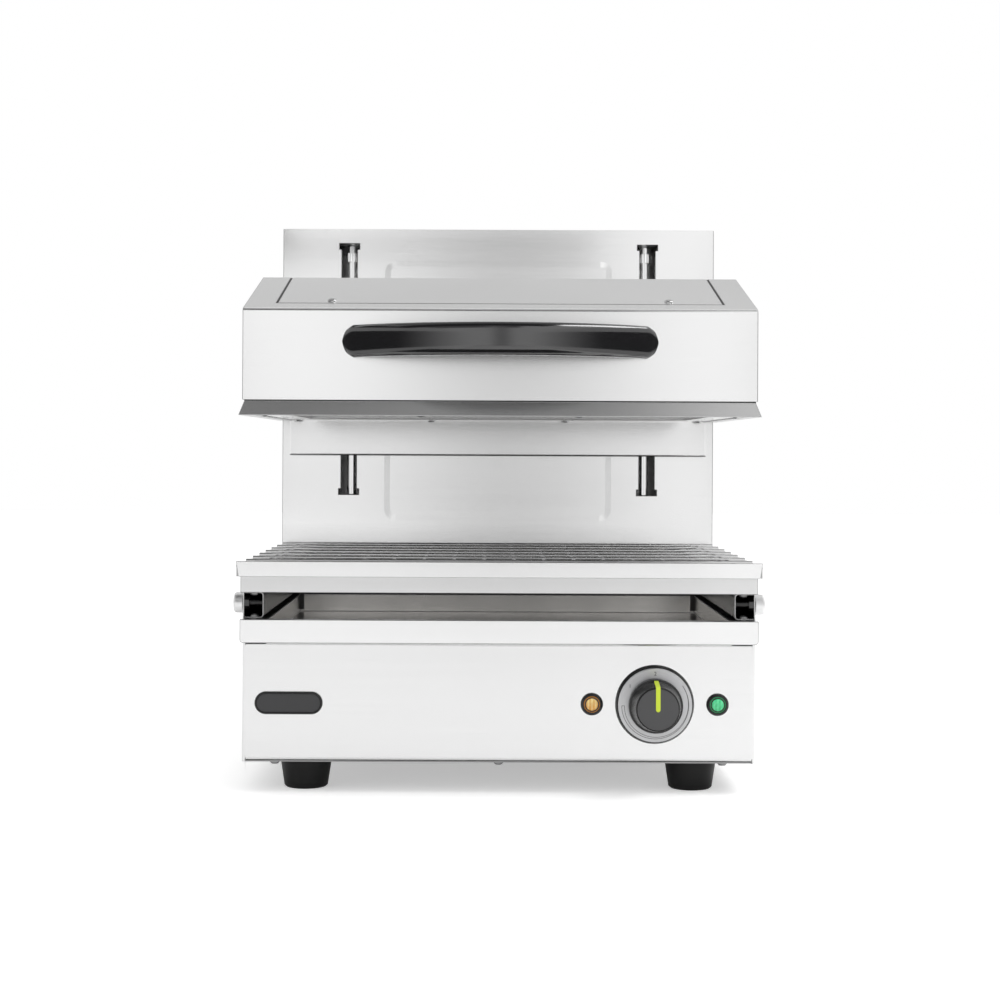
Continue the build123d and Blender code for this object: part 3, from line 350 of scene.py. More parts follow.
def eased_normal(tree, end_tilt, foot):
    """Normal with its rise scaled, which leans back a little under the height of a foot."""
    x, y, z = facing_axes(tree)
    rise = math_node(tree, "MULTIPLY", z, end_tilt)
    if foot is not None:
        below = math_node(tree, "SUBTRACT", foot, object_axes(tree)[2])
        near = clamped(tree, math_node(tree, "DIVIDE", below, FOOT_RUN))
        rise = math_node(tree, "ADD", rise, math_node(tree, "MULTIPLY", near, FOOT_LEAN))
    return unit(tree, x, y, rise)


def brushed_steel(name, tone, roughness, anisotropy=0.6, painted_shade=None, end_tilt=1.0, foot=None):
    """Brushed sheet. stain gives painted shade: an axis, the place on it past which the sheet is dark, and
    how dark.

    end_tilt below 1 eases the shade of slopes that face up or down. foot is a height under which the
    shade leans back a little.
    """
    made, tree, shader = principled(name, (tone,) * 3, roughness, Metallic=1.0, Anisotropic=anisotropy,
                                    Anisotropic_Rotation=BRUSH_TURN)
    hairs, grain = brush_grain(tree)
    darkest, brightest = (shade((tone,) * 3, share) for share in STEEL_SHADES)
    color = mix_color(tree, grain, darkest, brightest)
    # painted shade past a place on an axis
    if painted_shade is not None:
        color = painted_shade_past(tree, color, tone, *painted_shade)
    tree.links.new(color, shader.inputs["Base Color"])
    vary_roughness(tree, shader, grain, roughness - STEEL_WEAR, roughness + STEEL_WEAR)
    bump(tree, shader, hairs, STEEL_RELIEF, eased_normal(tree, end_tilt, foot))
    brush_round(tree, shader, "Z")
    return made


def handling_marks(tree):
    """Faint marks on bare metal."""
    return noise(tree, object_place(tree), scale=60, detail=4.0)


def plain_metal(name, color, roughness, wear=0.06):
    """Polished or plated metal with faint handling marks."""
    smoothest = 0.02
    darkest, brightest = 0.9, 1.06
    made, tree, shader = principled(name, color, roughness, Metallic=1.0)
    marks = handling_marks(tree)
    vary_roughness(tree, shader, marks, max(smoothest, roughness - wear), roughness + wear)
    vary_color(tree, shader, marks, shade(color, darkest), shade(color, brightest))
    return made


def polished_bar(name, tone, roughness, spread):
    """Polished upright bar; spread below 1 flattens its shade, so its shine covers more of its width."""
    wear = 0.04
    made, tree, shader = principled(name, (tone,) * 3, roughness, Metallic=1.0)
    x, y, z = facing_axes(tree)
    tree.links.new(unit(tree, math_node(tree, "MULTIPLY", x, spread), y, z), shader.inputs["Normal"])
    vary_roughness(tree, shader, handling_marks(tree), roughness - wear, roughness + wear)
    return made


def capped_bolt(name, inside_x, cap_tone, shank_shade_tone):
    """Bolt with a bright cap outside the body and a shank inside that is painted near black as shade."""
    roughness, wear = 0.36, 0.06
    made, tree, shader = principled(name, (cap_tone,) * 3, roughness, Metallic=1.0)
    outside = math_node(tree, "GREATER_THAN", math_node(tree, "ABSOLUTE", object_axes(tree)[0]), inside_x)
    vary_color(tree, shader, outside, (shank_shade_tone,) * 3, (cap_tone,) * 3)
    vary_roughness(tree, shader, handling_marks(tree), roughness - wear, roughness + wear)
    return made


def moulded(name, color, roughness, texture=0.08, scale=900, **sockets):
    """Moulded plastic or rubber with a fine texture."""
    cloud_size = 30                  # in grains of the texture
    wear, contrast = 0.15, 0.12      # as shares of the roughness and the colour
    made, tree, shader = principled(name, color, roughness, **sockets)
    skin = noise(tree, object_place(tree), scale, detail=3.0)
    cloud = noise(tree, object_place(tree), scale / cloud_size, detail=2.0)
    vary_roughness(tree, shader, cloud, roughness * (1 - wear), roughness * (1 + wear))
    vary_color(tree, shader, cloud, shade(color, 1 - contrast), shade(color, 1 + contrast))
    bump(tree, shader, skin, texture)
    return made


def two_tone(name, split_y, front, behind, front_roughness, behind_roughness):
    """Moulding with one tone in front of a depth and another behind it."""
    made, tree, shader = principled(name, front, front_roughness)
    sunk = math_node(tree, "GREATER_THAN", object_axes(tree)[1], split_y)
    vary_color(tree, shader, sunk, front, behind)
    vary_roughness(tree, shader, sunk, front_roughness, behind_roughness)
    skin = noise(tree, object_place(tree), scale=1500, detail=2.0)
    bump(tree, shader, skin, strength=0.05)
    return made


def turned_metal(name, color, roughness):
    """Disc with fine rings round the dial's axis."""
    ring_repeats = (2, 2600)         # round the disc per radian, and out from its middle per metre
    wear = 0.08
    darkest, brightest = 0.85, 1.1
    made, tree, shader = principled(name, color, roughness, Metallic=1.0, Anisotropic=0.75,
                                    Anisotropic_Rotation=BRUSH_TURN)
    radius, turn = polar(tree, dial_x, dial_z)
    rings = stretched_noise(tree, turn, radius, ring_repeats, detail=2.0)
    vary_roughness(tree, shader, rings, roughness - wear, roughness + wear)
    vary_color(tree, shader, rings, shade(color, darkest), shade(color, brightest))
    bump(tree, shader, rings, strength=0.1)
    brush_round(tree, shader, "Y")
    return made


def lamp_glass(name, place, core_low, core_high, groove, rim):
    """Tinted lens: bright ribbed core, lighter towards its top and on its rib crests as painted light, a
    groove darkened as painted shade, and a paler rim, by distance from its axis.
    """
    top_light_weight, rib_highlight_weight, cloud_weight, darker = 0.6, 0.25, 0.7, 0.2
    made, tree, shader = principled(name, core_high, roughness=0.09, IOR=1.52, Coat_Weight=0.6)
    radius, turn = polar(tree, place[0], place[2])
    x, y, z = object_axes(tree)
    height = math_node(tree, "SUBTRACT", z, place[2])
    # the core is lighter towards its top: painted light
    painted_top_light = math_node(tree, "ADD", math_node(tree, "DIVIDE", height, 2 * LENS_CORE), 0.5)
    across = math_node(tree, "SUBTRACT", x, place[0])
    # and lighter on the rib crests: painted highlight
    ribs = math_node(tree, "COSINE", math_node(tree, "MULTIPLY", across, 2 * math.pi / RIB_PITCH))
    cloud = noise(tree, object_place(tree), scale=420, detail=2.0)
    mottle_and_painted_light = weighted_sum(tree, (painted_top_light, top_light_weight), (ribs, rib_highlight_weight), (cloud, cloud_weight))
    core = mix_color(tree, math_node(tree, "SUBTRACT", mottle_and_painted_light, darker), core_low, core_high)
    # dark groove, then paler rim: the groove's darkness is painted shade
    edge = ramp(tree, math_node(tree, "DIVIDE", radius, LENS_RADIUS),
                [(0.76, groove), (0.85, groove), (0.93, rim), (1.0, rim)])
    outside = math_node(tree, "GREATER_THAN", radius, LENS_CORE)
    vary_color(tree, shader, outside, core, edge)
    return made


# Finishes by slot, and of the pieces that differ from their slot

KNOB_FACE_DEPTH = 0.5 * MM       # depths from the front at which a finish changes
BADGE_FACE_DEPTH = 0.3 * MM
# depths past which the channels and the tray take painted shade
CHANNEL_SHADE_DEPTH = 1.0 * MM
TRAY_SHADE_DEPTH = 2.0 * MM

finishes = {
    "housing_steel": brushed_steel("housing_steel", tone=0.94, roughness=0.22),
    "back_steel": brushed_steel("back_steel", tone=0.96, roughness=0.18, anisotropy=0.1, end_tilt=0.05,
                                foot=grid_top_z + FOOT_RUN),
    # steel inside the body, darkened as painted shade
    "inner_steel": brushed_steel("inner_steel", tone=0.34, roughness=0.34),
    "reflector_steel": brushed_steel("reflector_steel", tone=0.80, roughness=0.20),
    "chrome_wire": plain_metal("chrome_wire", (0.72, 0.72, 0.72), roughness=0.05, wear=0.01),
    "polished_rod": polished_bar("polished_rod", tone=0.96, roughness=0.10, spread=0.55),
    "fastener_steel": plain_metal("fastener_steel", (0.55, 0.55, 0.55), roughness=0.20),
    # the shank's near-black tone is painted shade inside the channel
    "bolt_cap": capped_bolt("bolt_cap", inside_x=body_side_x, cap_tone=0.86, shank_shade_tone=0.06),
    "element_sheath": plain_metal("element_sheath", (0.20, 0.19, 0.18), roughness=0.5),
    "cast_block": plain_metal("cast_block", (0.60, 0.60, 0.61), roughness=0.4),
    "bronze_bush": plain_metal("bronze_bush", (0.70, 0.52, 0.28), roughness=0.4),
    "gas_tube": moulded("gas_tube", (0.03, 0.03, 0.03), roughness=0.3),
    "wool": moulded("wool", (0.78, 0.75, 0.66), roughness=0.95, texture=0.6, scale=500),
    "handle_plastic": moulded("handle_plastic", (0.010, 0.010, 0.011), roughness=0.14, texture=0.01, IOR=2.0),
    # the near-black tone behind the knob's face, on its sides and rounded lip, is painted shade
    "knob_plastic": two_tone("knob_plastic", split_y=knob_face_y + KNOB_FACE_DEPTH,
                             front=(0.066, 0.066, 0.068), behind=(0.014, 0.014, 0.014),
                             front_roughness=0.34, behind_roughness=0.26),
    "bezel_plastic": moulded("bezel_plastic", (0.008, 0.008, 0.008), roughness=0.25, texture=0.03,
                             Specular_IOR_Level=0.25),
    "dial_face": turned_metal("dial_face", (0.64, 0.64, 0.65), roughness=0.38),
    "pointer_lime": moulded("pointer_lime", (0.66, 0.80, 0.04), roughness=0.45),
    # the groove colours are painted shade
    "lens_amber": lamp_glass("lens_amber", lens_places["amber"],
                             core_low=(0.70, 0.28, 0.01), core_high=(1.0, 0.80, 0.34),
                             groove=(0.05, 0.016, 0.004), rim=(0.48, 0.19, 0.02)),
    "lens_green": lamp_glass("lens_green", lens_places["green"],
                             core_low=(0.02, 0.50, 0.17), core_high=(0.14, 0.90, 0.42),
                             groove=(0.003, 0.05, 0.016), rim=(0.02, 0.26, 0.09)),
    "badge_plastic": two_tone("badge_plastic", split_y=badge_y + BADGE_FACE_DEPTH,
                              front=(0.008, 0.008, 0.008), behind=(0.040, 0.040, 0.042),
                              front_roughness=0.16, behind_roughness=0.4),
    "foot_rubber": moulded("foot_rubber", (0.008, 0.008, 0.008), roughness=0.42, texture=0.15,
                           Specular_IOR_Level=0.25),
    "gland_plastic": moulded("gland_plastic", (0.03, 0.03, 0.03), roughness=0.45),
    "terminal_plastic": moulded("terminal_plastic", (0.75, 0.73, 0.68), roughness=0.5),
}
# the hood and its roof cover take a lighter copy of the brushed steel: painted light
hood_steel = brushed_steel("hood_steel", tone=0.98, roughness=0.22)
# the channels turn nearly black inside: painted shade
channel_steel = brushed_steel("channel_steel", tone=0.88, roughness=0.22,
                              painted_shade=("Y", channel_y + CHANNEL_SHADE_DEPTH, 0.06))
dressed = {
    "head_shell": hood_steel,
    "head_top_cover": hood_steel,
    # the skirt's darker tone is painted shade on its slope, and its top in the joint turns into painted shade
    "head_skirt": brushed_steel("skirt_steel", tone=0.63, roughness=0.25, anisotropy=0.2,
                                painted_shade=("Z", hood_low_z - SKIRT_GAP, 0.02)),
    # the apron's foot turns dark: painted shade under its folded hem
    "rear_apron": brushed_steel("apron_steel", tone=0.93, roughness=0.18, anisotropy=0.1,
                                painted_shade=("-Z", -(apron_low_z + APRON_LINE), 0.10)),
    "underside_frame": finishes["housing_steel"],
    # the base takes a darker copy of the brushed steel: painted shade
    "base_housing": brushed_steel("base_steel", tone=0.89, roughness=0.22),
    # the top frame takes a lighter copy of the brushed steel: painted light
    "top_frame": brushed_steel("frame_steel", tone=0.98, roughness=0.20),
    # the crossbar's darker tone is painted shade under the hem
    "front_crossbar": brushed_steel("crossbar_steel", tone=0.80, roughness=0.24),
    # the tray turns dark past its front lip: painted shade under the grid and the top frame
    "drip_tray": brushed_steel("tray_steel", tone=0.96, roughness=0.22,
                               painted_shade=("Y", panel_y + TRAY_SHADE_DEPTH, 0.66)),
    # the shelf under the tray is near black: painted shade
    "tray_shelf": brushed_steel("shelf_steel", tone=0.10, roughness=0.40),
    "side_channel_left": channel_steel,
    "side_channel_right": channel_steel,
    # the nut in the channel is near black: painted shade
    "side_bolt_nuts": plain_metal("channel_nut", (0.10, 0.10, 0.10), roughness=0.4),
    "body_screws": plain_metal("channel_screw", (0.30, 0.30, 0.30), roughness=0.3),
}
for lamp in lens_places:
    dressed[f"lamp_ring_{lamp}"] = moulded(f"lamp_ring_{lamp}", (0.012, 0.012, 0.012), roughness=0.16,
                                           texture=0.02)
for part in frame["record"]["subparts"]:
    mesh = frame["nodes"][part["node"]].data
    mesh.materials.clear()
    mesh.materials.append(dressed.get(part["node"], finishes[part["material_slot"]]))


# Rolled edges

def rolled_edges(node, width, edge_shade=None):
    """Weld the mesh and round its sharp edges, which may have a finish of their own, painted shade along the
    rounded edge.
    """
    weld = node.modifiers.new("weld", "WELD")
    weld.merge_threshold = WELD_DISTANCE
    whole = node.modifiers.new("whole_faces", "DECIMATE")
    whole.decimate_type = "DISSOLVE"
    whole.angle_limit = FLAT_ANGLE
    edge = node.modifiers.new("edge", "BEVEL")
    edge.width = width
    edge.segments = EDGE_SEGMENTS
    edge.limit_method = "ANGLE"
    edge.angle_limit = EDGE_ANGLE
    edge.use_clamp_overlap = False
    if edge_shade:
        node.data.materials.append(edge_shade)
        edge.material = len(node.data.materials) - 1
    normals = node.modifiers.new("normals", "WEIGHTED_NORMAL")
    normals.keep_sharp = True


# Painted shade on the rounded edges: a dark outline on most sheet parts, a paler one on the base and the top
# frame
painted_pale_edge = brushed_steel("base_painted_edge_shade", tone=0.60, roughness=0.36)
painted_dark_edge = brushed_steel("painted_edge_shade", tone=0.30, roughness=0.36)
edge_groups = [
    (("base_housing", "top_frame"), SHEET_EDGE, painted_pale_edge),
    (("front_crossbar", "head_shell", "head_top_cover", "drip_tray", "back_panel", "side_channel_left",
      "side_channel_right", "column_cover", "base_rear_panel"), SHEET_EDGE, painted_dark_edge),
    (("rear_apron", "underside_frame", "head_skirt"), SHEET_EDGE, None),
    (("dial_bezel", "dial_plate", "badge_plate", "lamp_ring_amber", "lamp_ring_green", "cable_gland"),
     MOULDED_EDGE, None),
]
for names, width, edge_shade in edge_groups:
    for name in names:
        rolled_edges(frame["nodes"][name], width, edge_shade)


# Modelled pieces

def mesh_piece(name, vertices, faces, body, slot):
    """New closed mesh that rides on a body and takes a finish by its slot."""
    mesh = bpy.data.meshes.new(name)
    mesh.from_pydata(vertices, [], faces)
    outward = bmesh.new()
    outward.from_mesh(mesh)
    bmesh.ops.recalc_face_normals(outward, faces=outward.faces)
    outward.to_mesh(mesh)
    outward.free()
    mesh.shade_smooth()
    mesh.set_sharp_from_angle(angle=SMOOTH_ANGLE)
    mesh.materials.append(finishes[slot])
    made = bpy.data.objects.new(name, mesh)
    scene.collection.objects.link(made)
    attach(made, body)
    return made


def turned(origin, axis, profile, segments, relief=None):
    """Vertices and faces of a turned solid: (radius, reach) rings between two middle points on the axis.

    relief(angle, radius, reach) may give each point its own radius and reach.
    """
    origin = Vector(origin)
    axis = Vector(axis).normalized()
    side = axis.orthogonal().normalized()
    other = axis.cross(side)
    rings = profile[1:-1]
    vertices = [origin + axis * profile[0][1]]
    for radius, reach in rings:
        for step in range(segments):
            angle = 2 * math.pi * step / segments
            r, h = relief(angle, radius, reach) if relief else (radius, reach)
            vertices.append(origin + axis * h + side * r * math.cos(angle) + other * r * math.sin(angle))
    end = relief(0.0, *profile[-1])[1] if relief else profile[-1][1]
    vertices.append(origin + axis * end)
    faces = []
    last = len(vertices) - 1
    top = 1 + (len(rings) - 1) * segments
    for step in range(segments):
        after = (step + 1) % segments
        faces.append((0, 1 + after, 1 + step))
        for low in range(1, top, segments):
            high = low + segments
            faces.append((low + step, low + after, high + after, high + step))
        faces.append((last, top + step, top + after))
    return vertices, faces


def swept_faces(stations, corners=4):
    """Faces of a closed bar whose sections have the same number of corners."""
    last = corners * (stations - 1)
    faces = [tuple(range(corners)), tuple(range(last, last + corners))]
    for low in range(0, last, corners):
        for side in range(corners):
            after = (side + 1) % corners
            faces.append((low + side, low + after, low + corners + after, low + corners + side))
    return faces


def lamp_lens(lamp):
    """Domed lens with a grooved rim, a scalloped shoulder and upright ribs on its core."""
    rim = [(7.0, 0), (7.0, 2.7), (6.75, 3.1), (6.25, 3.1)]       # radius and reach in mm
    groove = [(5.9, 2.2), (5.45, 2.2)]
    shoulder = [(5.2, 3.3), (5.0, 3.8)]
    core_radius, core_top, core_drop, core_rings = 4.7, 4.3, 0.4, 9
    scallops, scallop_share = 18, 0.025
    rib_height = 0.22
    segments = 96
    core = []
    for index in range(core_rings):
        radius = core_radius * (1 - index / core_rings)
        core.append((radius, core_top - core_drop * (radius / core_radius) ** 2))
    profile = [(0, 0), *rim, *groove, *shoulder, *core, (0, core_top)]

    def relief(angle, radius, reach):
        if radius <= core_radius:
            across = radius * MM * math.sin(angle)
            reach += rib_height * math.cos(2 * math.pi * across / RIB_PITCH)
        elif radius <= shoulder[0][0]:
            radius *= 1 + scallop_share * math.cos(scallops * angle)
        return radius * MM, reach * MM

    vertices, faces = turned(lens_places[lamp], (0, -1, 0), profile, segments, relief)
    piece = mesh_piece(f"lens_{lamp}", vertices, faces, "base", f"lens_{lamp}")
    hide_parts(f"lamp_lens_{lamp}")


for lamp in lens_places:
    lamp_lens(lamp)


def handle_bow():
    """Smooth bow handle: a rounded section swept along an arc in plan, with round ends on the hood."""
    low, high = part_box("handle")
    half = (high.x - low.x) / 2
    bow = high.y - low.y
    tall = (high.z - low.z) / 2
    middle_z = (high.z + low.z) / 2
    radius = (half ** 2 + bow ** 2) / (2 * bow)
    axis_y = low.y + radius
    sweep = math.asin(half / radius)
    thick, edge, back_round = 15.0 * MM, 5.0 * MM, 1.5 * MM
    front_flat, back_flat = 0.36, 0.9    # parts of the height that are flat in front and behind
    roundness = 2.2
    end_radius = 14.45 * MM
    end_height = 0.3 * MM
    stations, points = 120, 32

    section = []
    for step in range(points + 1):
        up = math.sin(math.pi / 2 * (2 * step / points - 1))
        share = max(0.0, (abs(up) - front_flat) / (1 - front_flat))
        section.append((up, edge * (1 - max(0.0, 1 - share ** roundness) ** (1 / roundness))))
    section += [(1.0, thick - back_round), (back_flat, thick),
                (-back_flat, thick), (-1.0, thick - back_round)]

    vertices = []
    for station in range(stations + 1):
        angle = sweep * math.sin(math.pi / 2 * (2 * station / stations - 1))
        for up, depth in section:
            reach = radius - depth
            x = reach * math.sin(angle)
            past = max(0.0, abs(x) - (half - end_radius))
            height = min(tall, math.sqrt(max(end_radius ** 2 - past ** 2, end_height ** 2)))
            vertices.append((x, min(axis_y - reach * math.cos(angle), high.y), middle_z + height * up))
    faces = swept_faces(stations + 1, len(section))
    piece = mesh_piece("handle_bow", vertices, faces, "head", "handle_plastic")
    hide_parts("handle")


handle_bow()


def knob_grip():
    """Knob with a rounded skirt, a tapered grip and a lip with a fine groove round its face."""
    skirt = [(22.4, 0), (23.0, 0.6), (23.0, 7.3), (22.5, 7.9), (21.7, 8.0)]     # radius and reach in mm
    grip = [(21.35, 8.4), (18.75, 25.6)]
    lip = [(18.6, 26.5), (18.35, 27.0), (18.0, 27.2)]
    groove = [(17.7, 27.0), (17.5, 27.0)]
    face = [(17.35, 27.5), (17.1, 27.85), (16.7, 27.97), (8.0, 27.99), (0, 28.0)]
    segments = 128
    profile = [(radius * MM, reach * MM) for radius, reach in [(0, 0), *skirt, *grip, *lip, *groove, *face]]
    vertices, faces = turned((dial_x, knob_back_y, dial_z), (0, -1, 0), profile, segments)
    piece = mesh_piece("knob_grip", vertices, faces, "knob", "knob_plastic")
    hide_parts("knob")


knob_grip()


def roof_gap_shade():
    """Dark strip in the joint at each side of the roof cover, along the slope and the flat: painted shade in
    the gap.
    """
    joint = 1.5 * MM
    play = 0.1 * MM
    underside, top = 1.15 * MM, 0.45 * MM    # depths of the strip under the roof
    eave_z = hood_high.z - ROOF_RISE
    path = [(cover_low.y, eave_z + (cover_low.y - hood_low.y) * ROOF_RISE / ROOF_RUN),
            (hood_low.y + ROOF_RUN, hood_high.z), (cover_high.y, hood_high.z)]
    for name, side, edge_x in (("left", -1, cover_low.x), ("right", 1, cover_high.x)):
        left, right = sorted((edge_x + side * play, edge_x + side * (joint - play)))
        vertices = []
        for y, z in path:
            vertices += [(left, y, z - underside), (right, y, z - underside),
                         (right, y, z - top), (left, y, z - top)]
        mesh_piece(f"roof_gap_shade_{name}", vertices, swept_faces(len(path)), "head", "foot_rubber")


roof_gap_shade()


def solid_middle(points):
    """Middle of a solid's points."""
    return sum(points, Vector()) / len(points)


def solids_of(node):
    """Points of each separate solid in a node, in the order of their middles."""
    decimals = 5                     # of a metre
    work = bmesh.new()
    work.from_mesh(node.data)
    bmesh.ops.remove_doubles(work, verts=work.verts, dist=WELD_DISTANCE)
    left = set(work.verts)
    found = []
    while left:
        queue = [left.pop()]
        solid = []
        while queue:
            vertex = queue.pop()
            solid.append(node.matrix_world @ vertex.co)
            for edge in vertex.link_edges:
                other = edge.other_vert(vertex)
                if other in left:
                    left.remove(other)
                    queue.append(other)
        found.append(solid)
    work.free()
    return sorted(found, key=lambda solid: tuple(round(c, decimals) for c in solid_middle(solid)))


def screw_axis(points):
    """Seat, outward axis, head radius, head height and shank length of a screw, from its points.

    The widest ring is under the head, and the axis is upright or square to the roof's slope.
    """
    near_widest = 0.9
    middle = solid_middle(points)
    best = None
    for way in (1, -1):
        for tilt in (0.0, ROOF_TILT):
            axis = Vector((0, -math.sin(tilt) * way, math.cos(tilt) * way))
            reaches = [(p - middle).dot(axis) for p in points]
            radii = [((p - middle) - axis * r).length for p, r in zip(points, reaches)]
            wide = max(radii)
            head = [r for r, radius in zip(reaches, radii) if radius > near_widest * wide]
            if min(head) > 0 and (best is None or wide < best[0]):
                best = (wide, axis, min(head), max(reaches), min(reaches))
    wide, axis, seat, top, tip = best
    return middle + axis * seat, axis, wide, top - seat, seat - tip


def screw_heads(node_name, body):
    """Domed heads with a cross recess, on the screws' own places."""
    slot_width = 0.95 * MM
    slot_depth = 0.9 * MM
    recess_share = 0.65              # of the head's radius
    rim_share = 0.2                  # of the head's height
    dome = 0.9
    dome_rings = (0.95, 0.88, 0.78, 0.68, 0.62, 0.50, 0.38, 0.25, 0.12)
    segments = 48
    for number, points in enumerate(solids_of(frame["nodes"][node_name])):
        seat, axis, wide, height, length = screw_axis(points)
        shank = wide / 2
        profile = [(0, -length), (shank, -length), (shank, 0), (wide, 0), (wide, rim_share * height)]
        profile += [(wide * share, height * math.sqrt(1 - dome * share ** 2)) for share in dome_rings]
        profile.append((0, height))

        def relief(angle, radius, reach):
            near = min(abs(radius * math.cos(angle)), abs(radius * math.sin(angle)))
            if reach > 0 and radius < recess_share * wide and near < slot_width / 2:
                reach -= slot_depth
            return radius, reach

        vertices, faces = turned(seat, axis, profile, segments, relief)
        piece = mesh_piece(f"{node_name}_{number + 1}", vertices, faces, body, "fastener_steel")
        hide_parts(node_name)


screw_heads("head_screws", "head")


# Print on the dial, in degrees clockwise from the top and in mm

def dial_point(degrees, radius):
    """Point on the dial."""
    angle = math.radians(degrees)
    return dial_x + radius * MM * math.sin(angle), dial_z + radius * MM * math.cos(angle)


def dial_arc(start, end, radius_start, radius_end, width):
    """Sections of a printed arc whose radius may change along it."""
    steps = 72
    sections = []
    for step in range(steps + 1):
        share = step / steps
        degrees = start + (end - start) * share
        radius = radius_start + (radius_end - radius_start) * share
        sections.append((dial_point(degrees, radius - width / 2), dial_point(degrees, radius + width / 2)))
    return sections


def dial_line(degrees, radius_low, radius_high, width):
    """Sections of a printed radial line."""
    (x0, z0), (x1, z1) = dial_point(degrees, radius_low), dial_point(degrees, radius_high)
    across = Vector((z1 - z0, x0 - x1)).normalized() * width / 2 * MM
    return [((x - across.x, z - across.y), (x + across.x, z + across.y)) for x, z in ((x0, z0), (x1, z1))]


def dial_marks():
    """Tapering heat scale from nine o'clock round the bottom."""
    start, end = -91, -306
    outer, inner = 28.6, 26.3
    line = 0.35
    strips = [dial_arc(start, end, outer, outer, line), dial_arc(start, end, inner, outer, line),
              dial_line(start, inner, outer, line)]
    front_y = dial_face_y - PRINT_THICK
    vertices, faces = [], []
    for sections in strips:
        faces += [tuple(index + len(vertices) for index in face) for face in swept_faces(len(sections))]
        for (x0, z0), (x1, z1) in sections:
            vertices += [(x0, dial_face_y, z0), (x1, dial_face_y, z1), (x1, front_y, z1), (x0, front_y, z0)]
    mesh_piece("dial_scale", vertices, faces, "base", "bezel_plastic")


def dial_number(text, degrees, radius, height):
    """Printed number."""
    font_share = 0.7                 # height of a figure in its font size
    curve = bpy.data.curves.new(f"number_{text}", "FONT")
    curve.body = text
    curve.size = height / font_share * MM
    curve.extrude = PRINT_THICK / 2
    curve.align_x = "CENTER"
    curve.align_y = "CENTER"
    figure = bpy.data.objects.new(f"number_{text}", curve)
    scene.collection.objects.link(figure)
    mesh = bpy.data.meshes.new_from_object(figure.evaluated_get(bpy.context.evaluated_depsgraph_get()))
    bpy.data.objects.remove(figure)
    bpy.data.curves.remove(curve)
    x, z = dial_point(degrees, radius)
    vertices = [(x + v.co.x, dial_face_y - PRINT_THICK / 2 - v.co.z, z + v.co.y) for v in mesh.vertices]
    faces = [tuple(face.vertices) for face in mesh.polygons]
    bpy.data.meshes.remove(mesh)
    mesh_piece(f"dial_number_{text}", vertices, faces, "base", "bezel_plastic")


dial_marks()
dial_number("1", degrees=-53, radius=27.0, height=3.0)
dial_number("2", degrees=0, radius=26.8, height=3.2)


# Stage

def plane_object(name, width, depth):
    """Flat rectangle in the XY plane."""
    mesh = bpy.data.meshes.new(name)
    corners = [(-width / 2, -depth / 2, 0), (width / 2, -depth / 2, 0),
               (width / 2, depth / 2, 0), (-width / 2, depth / 2, 0)]
    mesh.from_pydata(corners, [], [(0, 1, 2, 3)])
    made = bpy.data.objects.new(name, mesh)
    scene.collection.objects.link(made)
    return made


def floor():
    """Pale floor that keeps the part's shadow, lifted for the camera and less for shiny surfaces."""
    made, tree, shader = principled("floor", (FLOOR_TONE,) * 3, roughness=0.9, Specular_IOR_Level=0.1,
                                    Emission_Color=WHITE)
    grain = noise(tree, object_place(tree), scale=40, detail=2.0)
    vary_color(tree, shader, grain, (FLOOR_TONE - FLOOR_GRAIN,) * 3, (FLOOR_TONE + FLOOR_GRAIN,) * 3)
    path = add(tree, "ShaderNodeLightPath")
    seen = math_node(tree, "MULTIPLY", path.outputs["Is Camera Ray"], FLOOR_LIFT)
    shown = math_node(tree, "MULTIPLY", path.outputs["Is Glossy Ray"], FLOOR_SHINE)
    tree.links.new(math_node(tree, "MAXIMUM", seen, shown), shader.inputs["Emission Strength"])
    sheet = plane_object("floor", FLOOR_SIZE, FLOOR_SIZE)
    sheet.data.materials.append(made)


def card(name, place, target, width, height, axis, stops):
    """Reflection card seen only by shiny surfaces, its tone given at places along one axis."""
    made = bpy.data.materials.new(name)
    made.use_nodes = True
    tree = made.node_tree
    tree.nodes.clear()
    way = split(tree, add(tree, "ShaderNodeNewGeometry").outputs["Position"])[axis]
    first, last = stops[0][0], stops[-1][0]
    share = math_node(tree, "DIVIDE", math_node(tree, "SUBTRACT", way, first), last - first)
    shades = [((along - first) / (last - first), (tone,) * 3) for along, tone in stops]
    glow = add(tree, "ShaderNodeEmission")
    tree.links.new(ramp(tree, share, shades), glow.inputs["Color"])
    tree.links.new(glow.outputs[0], add(tree, "ShaderNodeOutputMaterial").inputs["Surface"])
    sheet = plane_object(name, width, height)
    sheet.data.materials.append(made)
    sheet.location = place
    sheet.rotation_mode = "QUATERNION"
    sheet.rotation_quaternion = (Vector(target) - Vector(place)).to_track_quat("Z", "Y")
    sheet.visible_camera = False
    sheet.visible_diffuse = False
    sheet.visible_shadow = False


def studio_world():
    """White surround for the camera and for shiny surfaces, with a softer fill on the rest."""
    world = bpy.data.worlds.new("studio")
    scene.world = world
    world.use_nodes = True
    tree = world.node_tree
    tree.nodes.clear()
    path = add(tree, "ShaderNodeLightPath")
    seen = path.outputs["Is Camera Ray"]
    for kind in ("Is Glossy Ray", "Is Transmission Ray"):
        seen = math_node(tree, "MAXIMUM", seen, path.outputs[kind])
    mixed = add(tree, "ShaderNodeMixShader")
    tree.links.new(seen, mixed.inputs[0])
    for place, strength in ((1, WORLD_FILL), (2, 1.0)):
        light = add(tree, "ShaderNodeBackground")
        light.inputs["Color"].default_value = WHITE
        light.inputs["Strength"].default_value = strength
        tree.links.new(light.outputs[0], mixed.inputs[place])
    tree.links.new(mixed.outputs[0], add(tree, "ShaderNodeOutputWorld").inputs["Surface"])


